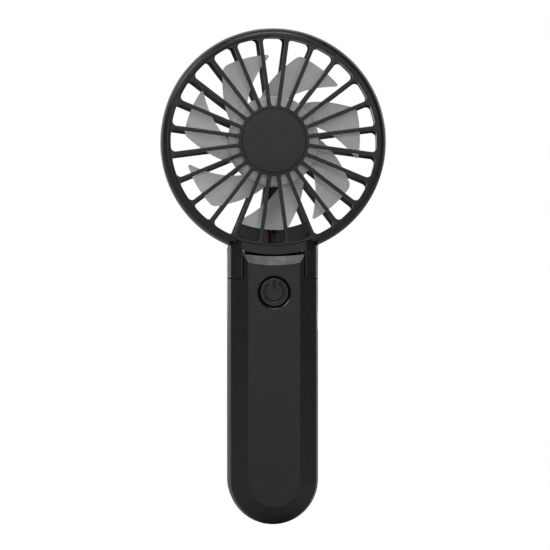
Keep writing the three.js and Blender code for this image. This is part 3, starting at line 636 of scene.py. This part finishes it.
def make_rear_casing():
    seam = REAR_LOW.y
    shell = keep(bar(0, ABOVE), slab(seam, DEEP))
    room = block(-WIDE, WIDE, -DEEP, 2 * DEEP, BELOW, DECK_Z)
    join(room, prism(arm_outline(), ARM_INNER_X, WIDE, "X"),
         mirrored(prism(arm_outline(), ARM_INNER_X, WIDE, "X")))
    keep(shell, room)
    cut(shell, keep(bar(WALL, DECK_Z - WALL), slab(seam - 1, DEEP)), port_opening())
    for side in (-1, 1):
        cut(shell, disk(PIN_BORE, *span(side, 12, 15.5), HINGE_CENTRE, "X", 40))
        cut(shell, block(*span(side, 14.8, 17.8), 2.2, 9.8, 95, 115))
    mouth = HALF_DEPTH + 0.1
    for centre, outer in screw_places("case_screw_1", "case_screw_2", "case_screw_3", "case_screw_4"):
        well = [(0, outer - CASE_WELL_DEPTH), (SCREW_WELL, outer - CASE_WELL_DEPTH),
                (SCREW_WELL, HALF_DEPTH - 0.35), (SCREW_WELL + 0.4, mouth), (0, mouth)]
        join(shell, disk(SCREW_POST, seam, 11.5, centre, segments=40))
        cut(shell, turned("well", well, 48, centre), disk(SCREW_HOLE, seam - 1, 12, centre, segments=32))
    soften(shell)
    smooth(shell)
    return finished(shell, "rear_casing", BLACK, "handle", "satin_black", "handle_rear_shell")


def make_screw(node, body):
    """A pan-head screw with a cross recess and a threaded shank."""
    low, high = node_box(node)
    x, z = (low.x + high.x) / 2, (low.z + high.z) / 2
    radius, top, tip = (high.x - low.x) / 2, high.y, low.y
    root, crest, pitch = 0.62, 0.8, 0.4
    head = [(0, top), (radius * 0.55, top - 0.06), (radius * 0.85, top - 0.25), (radius, top - 0.6),
            (radius, top - 1.3), (crest, top - 1.35)]
    thread = []
    along = top - 1.6
    while along > tip + 1.2:
        thread += [(root, along), (crest, along - pitch / 2), (root, along - pitch)]
        along -= pitch
    screw = turned("screw", [*head, *thread, (0.6, tip + 0.7), (0, tip)], 40, (x, 0, z))
    for angle in (0, 90):
        slot = block(-radius * 0.6, radius * 0.6, -0.85, 1, -0.21, 0.21)
        slot.data.transform(Matrix.Rotation(math.radians(angle + 25), 4, "Y"))
        slot.data.transform(Matrix.Translation(Vector((x, top, z)) * MM))
        cut(screw, slot)
    soften(screw, 0.04, 40, 1)
    smooth(screw)
    return finished(screw, node + "_detail", STEEL, body, "steel", node)


# ---------- button ----------

def make_button():
    """Flat cap with a flange inside the casing and the power mark sunk as round grooves."""
    y = BUTTON_LOW.y
    centre = (0, 0, BUTTON_Z)
    flange, back = y + 3.1, y + 3.4
    cap = turned("button", rounded([
        (0, y), (BUTTON_RADIUS, y), (BUTTON_RADIUS, y + 1.8), (BUTTON_FLANGE_RADIUS, flange),
        (BUTTON_FLANGE_RADIUS, back), (0, back)], [0, 0.35, 0, 0, 0, 0]), 128, centre)
    ring = arc((0, -0.2), MARK_GROOVE, 0, 360, 24)
    groove = turned("groove", [(MARK_RADIUS + x, y + z) for x, z in ring], 128, centre)
    reach = 10 * math.tan(math.radians(MARK_OPEN_ANGLE))
    cut(groove, prism([(0, BUTTON_Z), (reach, BUTTON_Z + 10), (-reach, BUTTON_Z + 10)], y - 2, y + 2))
    low_end = [(r, 1.5 + a) for a, r in arc((0, 0), MARK_GROOVE, 180, 90, 8)][1:]
    high_end = [(r, 4.5 + a) for a, r in arc((0, 0), MARK_GROOVE, 90, 0, 8)][:-1]
    stroke = turned("stroke", [(0, 0.9), *low_end, *high_end, (0, 5.14)], 32,
                    (0, y - 0.2, BUTTON_Z), "Z")
    cut(cap, groove, stroke)
    soften(cap, 0.08, 50, 1)
    smooth(cap, 32)
    return finished(cap, "button_cap", BUTTON_BLACK, "button", "button_black", "power_button")


# ---------- head ----------

def opening(inner, outer, spoke_width, corner, inner_round):
    """Left half of an opening, from the middle of its inner end to the middle of its outer end."""
    half = math.pi / SPOKES

    def edge(radius):
        return half - math.asin(spoke_width / 2 / radius)

    def at(radius, angle):
        return (radius * math.sin(angle), radius * math.cos(angle))

    reach = edge(outer)
    corners = [(0, inner), at(inner + 0.01, -edge(inner)), at(outer, -reach),
               at(outer, -reach * 0.5), at(outer, -reach * 0.25), at(outer, 0)]
    round_steps, side_steps = 8, 14
    path = rounded(corners[:4], [0, inner_round, corner, 0], steps=round_steps)
    turn = 1 + round_steps + 1
    (x0, z0), (x1, z1) = path[turn - 1], path[turn]
    straight = [(x0 + (x1 - x0) * k / side_steps, z0 + (z1 - z0) * k / side_steps)
                for k in range(1, side_steps)]
    return path[:turn] + straight + path[turn:] + corners[4:]


def grille_plate(inner, outer, spoke_width, hub_radius, rim_radius, low, high, fillet):
    """A round plate with its openings, every edge of an opening filleted, sector by sector."""
    left = opening(inner, outer, spoke_width, OPENING_OUTER_CORNER, OPENING_INNER_ROUND)
    loop = left + [(-x, z) for x, z in reversed(left[1:-1])]
    count = len(loop)
    half = math.pi / SPOKES
    inner_turn = 1 + 4
    outer_turn = len(left) - 3 - 5

    def edge_of_sector(k):
        """Where the sector's edge is opposite the loop's point k of the left half."""
        if k <= inner_turn:
            angle = -half * k / inner_turn
            return (hub_radius * math.sin(angle), hub_radius * math.cos(angle))
        if k >= outer_turn:
            angle = -half * (len(left) - 1 - k) / (len(left) - 1 - outer_turn)
            return (rim_radius * math.sin(angle), rim_radius * math.cos(angle))
        radius = hub_radius + (rim_radius - hub_radius) * (k - inner_turn) / (outer_turn - inner_turn)
        return (-radius * math.sin(half), radius * math.cos(half))

    border = [edge_of_sector(k) for k in range(len(left))]
    border += [(-x, z) for x, z in reversed(border[1:-1])]
    normals = []
    for k in range(count):
        ahead, back = Vector(loop[(k + 1) % count]), Vector(loop[k - 1])
        along = (ahead - back).normalized()
        normals.append(Vector((-along.y, along.x)))
    steps = [math.pi / 2 * i / 4 for i in range(5)]
    rings = [(fillet * (1 - math.cos(a)), low + fillet * (1 - math.sin(a))) for a in reversed(steps)]
    rings += [(fillet * (1 - math.cos(a)), high - fillet * (1 - math.sin(a))) for a in steps]
    points, faces = [], []
    for sector in range(SPOKES):
        turn = Matrix.Rotation(-2 * math.pi * sector / SPOKES, 2)
        rows = [[(x, z, low) for x, z in border]]
        rows += [[(*(Vector(loop[k]) + normals[k] * out), y) for k in range(count)] for out, y in rings]
        rows += [[(x, z, high) for x, z in border]]
        first = len(points)
        for row in rows:
            for x, z, y in row:
                place = turn @ Vector((x, z))
                points.append((place.x, y, HEAD.z + place.y))
        faces += [tuple(first + v for v in f) for f in grid_faces(len(rows), count, closed_columns=True)]
        last = first + (len(rows) - 1) * count
        for k in range(count):
            after = (k + 1) % count
            ends = [math.hypot(*border[j]) for j in (k, after)]
            if any(all(abs(end - r) < 1e-6 for end in ends) for r in (hub_radius, rim_radius)):
                faces.append((first + k, first + after, last + after, last + k))
    return solid("plate", points, faces)


def gathered(first, *others):
    """Several closed shells in one mesh, as they are."""
    work = bmesh.new()
    work.from_mesh(first.data)
    for other in others:
        work.from_mesh(other.data)
        mesh = other.data
        bpy.data.objects.remove(other)
        bpy.data.meshes.remove(mesh)
    work.to_mesh(first.data)
    work.free()
    return first


def rim(flat, seam, start_radius, flat_radius):
    """Rounded rim of a grille, from its flat face back to the seam with the band."""
    side = math.copysign(1, flat)
    inner = RING_RADIUS - RING_WALL
    back = flat - side * GRILLE_THICKNESS
    curve = []
    for i in range(13):
        a = math.pi / 2 * i / 12
        curve.append((flat_radius + (RING_RADIUS - flat_radius) * math.sin(a),
                      flat - side * RIM_DEPTH * (1 - math.cos(a))))
    start = (start_radius, flat)
    profile = [start, *curve, (RING_RADIUS, seam), (inner, seam), (inner, back), (start_radius, back), start]
    return turned("rim", profile, RING_SEGMENTS, HEAD_CENTRE)


def fold_space():
    """What the head leaves free for the handle's arms and shoulders as it folds."""
    near = ARM_INNER_X - 0.6
    side = disk(FOLD_REACH, near, WIDE, HINGE_CENTRE, "X", 96)
    join(side, block(near, WIDE, HINGE.y - FOLD_REACH, DEEP, 80, HINGE.z),
         block(near, WIDE, HINGE.y, DEEP, 80, HINGE.z + FOLD_REACH))
    return side


def bottom_wall(low, high):
    """The ring's wall in the band's gap at the bottom."""
    half = GAP_HALF_WIDTH - GAP
    inner = RING_RADIUS - RING_WALL
    profile = [(inner, low), (RING_RADIUS, low), (RING_RADIUS, high), (inner, high), (inner, low)]
    wall = turned("wall", profile, RING_SEGMENTS, HEAD_CENTRE)
    return keep(wall, block(-half, half, low - 1, high + 1, HEAD.z - 60, HEAD.z - 30))


def chin_and_ears():
    """The handle's bar carried on up into the rim, with the slot for the tongue."""
    column = keep(bar(0, ABOVE, 0.9),
                  block(-WIDE, WIDE, FRONT_FACE + 0.01, EAR_BACK_Y, EAR_BOTTOM, HEAD.z - 39.3))
    outside = cut(disk(60, -DEEP, DEEP, HEAD_CENTRE, segments=RING_SEGMENTS),
                  disk(RING_RADIUS + CHIN_GAP, -DEEP - 1, DEEP + 1, HEAD_CENTRE, segments=RING_SEGMENTS))
    cut(column, keep(outside, block(-ARM_INNER_X, ARM_INNER_X, -DEEP, DEEP, 90, 125)))
    return cut(column, disk(FRONT_PLATE_RADIUS - 0.1, -DEEP, DEEP, HEAD_CENTRE, segments=RING_SEGMENTS))


def ear_crease():
    """What the slanting faces of the right ear leave off, in line with the handle's bevel."""
    slope = (BEVEL_Y + HALF_DEPTH) / (BEVEL_HALF_WIDTH - PANEL_HALF_WIDTH)
    near, far = 12, 24
    near_y, far_y = (BEVEL_Y + (x - BEVEL_HALF_WIDTH) * slope for x in (near, far))
    wedge = prism([(near, near_y), (near, -DEEP), (far, -DEEP), (far, far_y)], 90, HEAD.z - 38, "Z")
    below = prism([(13, 90), (far, 90), (far, HEAD.z - 48.3), (18.7, HEAD.z - 43.5),
                   (14.4, HEAD.z - 40.2), (13, HEAD.z - 40.2)], -DEEP, 0)
    return keep(wedge, below)


def make_front_grille():
    plate_back = FRONT_FACE + GRILLE_THICKNESS
    seam = BAND_LOW.y - GAP
    body = join(rim(FRONT_FACE, seam, FRONT_PLATE_RADIUS - 0.3, FRONT_FLAT_RADIUS), chin_and_ears(),
                bottom_wall(seam - 1, 1.3))
    cut(body, ear_crease(), mirrored(ear_crease()), fold_space(), mirrored(fold_space()),
        disk(BARREL_RADIUS + GAP, -ARM_INNER_X, ARM_INNER_X, HINGE_CENTRE, "X", 64))
    soften(body, 0.16, 40)
    cut(body, disk(FRONT_PLATE_RADIUS, FRONT_FACE - 1, plate_back + 1, HEAD_CENTRE, segments=RING_SEGMENTS))
    plate = grille_plate(OPENING_INNER, OPENING_OUTER, FRONT_SPOKE_WIDTH, CAP_RADIUS + 0.35,
                         FRONT_PLATE_RADIUS, FRONT_FACE, plate_back, 0.3)
    seat = disk(CAP_RADIUS + 0.6, FRONT_FACE + 0.9, plate_back - 0.1, HEAD_CENTRE, segments=96)
    smooth(gathered(body, plate, seat))
    return finished(body, "grille_front", BLACK, "head", "satin_black", "front_grille", "front_rim")


def make_cap():
    """The disc at the front grille's centre, very slightly domed."""
    y = CAP_LOW.y
    profile = rounded([(0, y), (9, y + 0.08), (CAP_RADIUS, y + 0.4), (CAP_RADIUS, CAP_HIGH.y),
                       (0, CAP_HIGH.y)], [0, 30, 0.3, 0.1, 0], steps=8)
    cap = turned("cap", profile, 160, HEAD_CENTRE)
    smooth(cap)
    return finished(cap, "centre_cap", CAP_GREY, "head", "cap_grey", "grille_cap")


def make_band():
    """Plain band between the rims, with a lip inside each of them, open at the bottom."""
    lip_outer = RING_RADIUS - RING_WALL - LIP_GAP
    lip_inner = lip_outer - LIP_WALL
    low, high = BAND_LOW.y, BAND_HIGH.y
    start = (lip_inner, low - LIP_DEPTH)
    profile = [start, (lip_outer, low - LIP_DEPTH), (lip_outer, low),
               (RING_RADIUS - BAND_EDGE, low), (RING_RADIUS, low + BAND_EDGE),
               (RING_RADIUS, high - BAND_EDGE), (RING_RADIUS - BAND_EDGE, high),
               (lip_outer, high), (lip_outer, high + LIP_DEPTH), (lip_inner, high + LIP_DEPTH), start]
    band = turned("band", profile, RING_SEGMENTS, HEAD_CENTRE)
    cut(band, block(-GAP_HALF_WIDTH, GAP_HALF_WIDTH, -DEEP, DEEP, HEAD.z - 60, HEAD.z - 30))
    smooth(band)
    return finished(band, "middle_band", BLACK, "head", "satin_black", "head_band")


def lower_zone(radius, outer, half, low, high):
    """Ring sector at the bottom of the head, from a radius out into the rim."""
    def edge(r, sign):
        sweep = math.degrees(math.asin(half / r))
        return arc((0, HEAD.z), r, 270 - sign * sweep, 270 + sign * sweep, 24)
    return prism(edge(outer, 1) + edge(radius, -1), low, high)


def barrel():
    """The hinge's barrel with the web that carries it."""
    front, back = -4.4, 5.2
    start = math.degrees(math.acos(front / BARREL_RADIUS))
    end = 360 + math.degrees(math.acos(back / BARREL_RADIUS))
    web_top = HINGE.z + BARREL_RADIUS
    outline = [(HINGE.y + front, web_top), *arc((HINGE.y, HINGE.z), BARREL_RADIUS, start, end, 80),
               (HINGE.y + back, web_top)]
    return prism(outline, -BARREL_HALF_WIDTH, BARREL_HALF_WIDTH, "X")


def make_rear_body():
    """The rear rim with the block, the bottom wall and the hinge barrel, cut for the leads and pins."""
    back, seam = HALF_DEPTH, BAND_HIGH.y + GAP
    half = CHANNEL_HALF_WIDTH
    y0, y1 = HINGE.y - PIN_CHANNEL, HINGE.y + PIN_CHANNEL
    z0, z1 = HINGE.z - PIN_CHANNEL, HINGE.z + PIN_CHANNEL
    body = join(rim(back, seam, REAR_PLATE_RADIUS, REAR_FLAT_RADIUS),
                lower_zone(BLOCK_TOP_RADIUS, REAR_FLAT_RADIUS + 0.4, BLOCK_HALF_WIDTH, 5, back - 0.08),
                bottom_wall(1.6, seam + 1), barrel(), touching=True)
    cut(body, block(-half, half, y0, CHANNEL_FLOOR_Y, z0, HEAD.z - 36), block(-half, 8.5, y0, y1, z0, z1),
        fold_space(), mirrored(fold_space()), touching=True)
    for side in (-1, 1):
        cut(body, disk(PIN_BORE, *span(side, 8.2, 13), HINGE_CENTRE, "X", 40), touching=True)
    for centre, outer in screw_places("head_screw_1", "head_screw_2"):
        cut(body, disk(SCREW_WELL, outer - CASE_WELL_DEPTH, DEEP, centre, segments=48),
            disk(SCREW_HOLE, -5, DEEP, centre, segments=32), touching=True)
    return soften(body, 0.16, 40)


def make_rear_grille():
    """The rear body with its plate, the motor's hub and cup, and the strut for the leads."""
    back = HALF_DEPTH
    plate_front = back - GRILLE_THICKNESS
    body = make_rear_body()
    plate = cut(
        grille_plate(REAR_OPENING_INNER, REAR_OPENING_OUTER, REAR_SPOKE_WIDTH, 13, REAR_PLATE_RADIUS,
                     plate_front, back, 0.35),
        lower_zone(BLOCK_TOP_RADIUS + 0.3, 60, BLOCK_HALF_WIDTH - 0.3, 0, WIDE))
    hub = disk(13.9, plate_front + 0.1, back - 0.05, HEAD_CENTRE, segments=128)
    for centre, outer in screw_places("motor_screw_1", "motor_screw_2"):
        cut(hub, disk(SCREW_WELL, outer - MOTOR_WELL_DEPTH, DEEP, centre, segments=48),
            disk(SCREW_HOLE, 0, DEEP, centre, segments=32))
    cup_back = 11.6
    cup = turned("cup", rounded([
        (MOTOR_CUP_INNER, MOTOR_CUP_FRONT), (MOTOR_CUP_OUTER, MOTOR_CUP_FRONT), (MOTOR_CUP_OUTER, cup_back),
        (MOTOR_CUP_INNER, cup_back)], [0.3, 0.4, 0, 0], closed=True), 128, HEAD_CENTRE)
    widths = ((-3.3, 13), (-4.45, 29), (-4.45, 39), (4.45, 39), (4.45, 29), (3.3, 13))
    strut = cut(prism([(x, HEAD.z - r) for x, r in widths], 6, back - 0.3),
                block(-CHANNEL_HALF_WIDTH, CHANNEL_HALF_WIDTH, 5, CHANNEL_FLOOR_Y,
                      HEAD.z - 40, HEAD.z - 13.4))
    soften(strut, 0.25, 40)
    smooth(gathered(body, plate, hub, cup, strut))
    return finished(body, "grille_rear", BLACK, "head", "satin_black", "rear_grille", "rear_rim")


# ---------- rotor ----------

def blade_edge(edge, radius):
    """Where a blade's edge stands at a radius, in degrees."""
    start, angle, slope, bend = edge
    out = radius - start
    return angle + slope * out + bend * out ** 2


def blade_point(across, along):
    """Angle, depth and radius of a blade's middle surface, across its width and out along it."""
    root = HUB_RADIUS - 0.9
    corner = 1.1 * max(0, 1 - across / 0.07) ** 2 + 0.9 * max(0, 1 - (1 - across) / 0.06) ** 2
    crown = math.sin(math.pi * across)
    outer = BLADE_TIP_RADIUS - 0.5 * across - 0.25 * crown - corner
    radius = root + (outer - root) * along
    near, far = blade_edge(LEADING_EDGE, radius), blade_edge(TRAILING_EDGE, radius)
    y = BLADE_FRONT_Y + (BLADE_BACK_Y - BLADE_FRONT_Y) * across + 1.1 * crown
    return math.radians(near + (far - near) * across), y, radius


def blade(index):
    """One frosted blade: a swept and pitched sheet with soft edges."""
    rows, columns = 20, 26
    turn = 2 * math.pi * index / BLADES
    sides = []
    for face in (-0.5, 0.5):
        points = []
        for i in range(rows):
            for j in range(columns):
                across = (1 - math.cos(math.pi * j / (columns - 1))) / 2
                sweep, y, radius = blade_point(across, i / (rows - 1))
                angle = turn + sweep
                points.append((radius * math.sin(angle), y + face * BLADE_THICKNESS,
                               HEAD.z + radius * math.cos(angle)))
        sides.append(points)
    count = rows * columns
    front = grid_faces(rows, columns)
    back = [tuple(count + v for v in reversed(f)) for f in front]
    border = (list(range(columns)) + [i * columns + columns - 1 for i in range(1, rows)]
              + [(rows - 1) * columns + j for j in range(columns - 2, -1, -1)]
              + [i * columns for i in range(rows - 2, 0, -1)])
    edge = [(a, b, count + b, count + a) for a, b in zip(border, border[1:] + border[:1])]
    piece = solid("blade", sides[0] + sides[1], front + back + edge)
    return soften(piece, 0.3, 50, 3)


def make_rotor():
    """The hub cup with its boss and the blades, in one moulding."""
    front, back = HUB_LOW.y, 2.4
    inside, floor, boss = HUB_RADIUS - HUB_WALL, front + HUB_WALL, -3.7
    hub = turned("hub", rounded([
        (0, front), (HUB_RADIUS, front), (HUB_RADIUS, back), (inside, back), (inside, floor), (4, floor),
        (4, boss), (2.4, boss), (2.4, front + 0.8), (0, front + 0.8)],
        [0, 0.9, 0.3, 0.3, 0.6, 0.4, 0.2, 0, 0, 0]), 140, HEAD_CENTRE)
    join(hub, *[blade(i) for i in range(BLADES)])
    clean(hub)
    smooth(hub, 45)
    return finished(hub, "rotor_moulding", FROSTED, "rotor", "frosted", "impeller")


# ---------- leads and inner parts ----------

def make_lead(name, points, material, body, node):
    """A round insulated wire along its route."""
    curve = bpy.data.curves.new(name, "CURVE")
    curve.dimensions = "3D"
    curve.bevel_depth = LEAD_RADIUS * MM
    curve.bevel_resolution = 4
    curve.resolution_u = 8
    curve.use_fill_caps = True
    spline = curve.splines.new("NURBS")
    spline.points.add(len(points) - 1)
    for point, place in zip(spline.points, points):
        point.co = (*[c * MM for c in place], 1)
    spline.use_endpoint_u = True
    spline.order_u = 3
    lead = link(name, curve)
    curve.materials.append(material)
    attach(lead, body)
    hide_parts(node)


def motor_lead(side):
    """Down the strut's channel, into the barrel and out along the fold axis, beside the other lead."""
    y, z = HINGE.y + side * 0.65, HINGE.z
    x = (side - 1) * 0.525
    return [(side * 2.2, 9, HEAD.z - 10.2), (side * 1.1, 9.2, HEAD.z - 12.6), (x, 8.6, HEAD.z - 18),
            (x, 8.5, HEAD.z - 26), (x, 8.5, HEAD.z - 36), (x, 8.3, HEAD.z - 45), (x, 7.4, HEAD.z - 49),
            (side * 0.5 + 0.6, y, HEAD.z - 51.2), (4, y, z), (8, y, z), (13.6, y, z)]


def carried_over(material, *nodes):
    """Gives CAD nodes that stay in view their material."""
    for node in nodes:
        piece = frame["nodes"][node]
        piece.data.materials.clear()
        piece.data.materials.append(material)


# ---------- stage, lights and camera ----------

def make_stage():
    """Pale painted floor that the camera sees as plain white."""
    floor = link("floor", bpy.data.meshes.new("floor"))
    work = bmesh.new()
    bmesh.ops.create_circle(work, cap_ends=True, radius=6, segments=96)
    work.to_mesh(floor.data)
    work.free()
    m = Nodes("floor_paint", Roughness=0.9, Specular_IOR_Level=0.1)
    m.colours(m.noise(3, 2), (0.5, 0.5, 0.5), (0.54, 0.54, 0.54))
    white = m.add("ShaderNodeEmission")
    seen = m.add("ShaderNodeMixShader")
    m.wire(m.add("ShaderNodeLightPath").outputs["Is Camera Ray"], seen.inputs["Fac"])
    m.wire(m.shader.outputs["BSDF"], seen.inputs[1])
    m.wire(white.outputs["Emission"], seen.inputs[2])
    m.wire(seen.outputs["Shader"], m.tree.nodes["Material Output"].inputs["Surface"])
    floor.data.materials.append(m.material)


def area_light(name, place, target, size, radiance):
    """A soft box, its power set so that its face has the given radiance."""
    data = bpy.data.lights.new(name, "AREA")
    data.shape = "RECTANGLE"
    data.size, data.size_y = size
    data.energy = radiance * math.pi * size[0] * size[1]
    lamp = bpy.data.objects.new(name, data)
    bpy.context.scene.collection.objects.link(lamp)
    lamp.location = place
    lamp.rotation_euler = (Vector(target) - Vector(place)).to_track_quat("-Z", "Y").to_euler()


def make_world():
    """White behind the object and behind the camera, dark at the sides; the camera sees plain white."""
    world = bpy.data.worlds.new("studio")
    bpy.context.scene.world = world
    world.use_nodes = True
    tree = world.node_tree
    room = tree.nodes["Background"]
    output = tree.nodes["World Output"]

    def add(kind):
        return tree.nodes.new(kind)

    split = add("ShaderNodeSeparateXYZ")
    tree.links.new(add("ShaderNodeTexCoord").outputs["Generated"], split.inputs["Vector"])
    depth = add("ShaderNodeMapRange")
    depth.inputs["From Min"].default_value = -1
    tree.links.new(split.outputs["Y"], depth.inputs["Value"])
    ramp = add("ShaderNodeValToRGB")
    stops = ((0.0, 1.05), (0.07, 0.85), (0.17, 0.03), (0.56, 0.03), (0.64, 1.0))
    while len(ramp.color_ramp.elements) < len(stops):
        ramp.color_ramp.elements.new(0.5)
    for stop, (place, level) in zip(ramp.color_ramp.elements, stops):
        stop.position = place
        stop.color = (level, level, level, 1)
    tree.links.new(depth.outputs["Result"], ramp.inputs["Fac"])
    tree.links.new(ramp.outputs["Color"], room.inputs["Color"])
    backdrop = add("ShaderNodeBackground")
    backdrop.inputs["Color"].default_value = (1, 1, 1, 1)
    seen = add("ShaderNodeMixShader")
    tree.links.new(add("ShaderNodeLightPath").outputs["Is Camera Ray"], seen.inputs["Fac"])
    tree.links.new(room.outputs["Background"], seen.inputs[1])
    tree.links.new(backdrop.outputs["Background"], seen.inputs[2])
    tree.links.new(seen.outputs["Shader"], output.inputs["Surface"])


def light_room():
    bpy.context.scene.view_settings.view_transform = "Standard"
    make_world()
    centre = (0, 0, 0.12)
    area_light("overhead", (0, -0.6, 1.15), centre, (0.6, 0.45), 5)
    area_light("key", (-0.9, -0.35, 0.95), centre, (0.5, 0.5), 5)


def place_camera():
    """The photograph's view: level, and a little to the left of the front."""
    distance, view_width, sensor_width = 1.05, 0.2352, 36
    azimuth = math.radians(-3.2)
    low, high = cad_box
    middle = (Vector(low) + Vector(high)) / 2
    aim = middle + Vector((0.00097, 0, 0.00074))
    data = bpy.data.cameras.new("camera")
    data.lens = sensor_width * distance / view_width
    data.clip_end = 20
    camera = bpy.data.objects.new("camera", data)
    bpy.context.scene.collection.objects.link(camera)
    camera.location = aim + Vector((math.sin(azimuth), -math.cos(azimuth), 0)) * distance
    camera.rotation_euler = (aim - camera.location).to_track_quat("-Z", "Y").to_euler()
    bpy.context.scene.camera = camera


place_camera()
light_room()
make_stage()

make_front_casing()
make_rear_casing()
make_button()
make_front_grille()
make_cap()
make_band()
make_rear_grille()
make_rotor()
for number in (1, 2, 3, 4):
    make_screw(f"case_screw_{number}", "handle")
for number in (1, 2):
    make_screw(f"head_screw_{number}", "head")
    make_screw(f"motor_screw_{number}", "head")
make_lead("red_lead", motor_lead(1), RED_LEAD, "head", "motor_wire_red")
make_lead("black_lead", motor_lead(-1), BLACK_LEAD, "head", "motor_wire_black")

carried_over(STEEL, "hinge_pin_left", "hinge_pin_right", "usb_socket", "motor_can", "motor_shaft",
             "board_screw_1", "board_screw_2")
carried_over(NICKEL, "battery_tab_positive", "battery_tab_negative")
carried_over(BRASS, "hub_bush", "motor_terminal_1", "motor_terminal_2")
carried_over(NYLON, "hinge_washer_left", "hinge_washer_right")
carried_over(DARK_PLASTIC, "tact_switch", "motor_end_bell")
carried_over(SOLDER_MASK, "circuit_board")
carried_over(CELL_WRAP, "battery_cell")
carried_over(RED_LEAD, "battery_wire_red", "handle_lead_red")
carried_over(BLACK_LEAD, "battery_wire_black", "handle_lead_black")
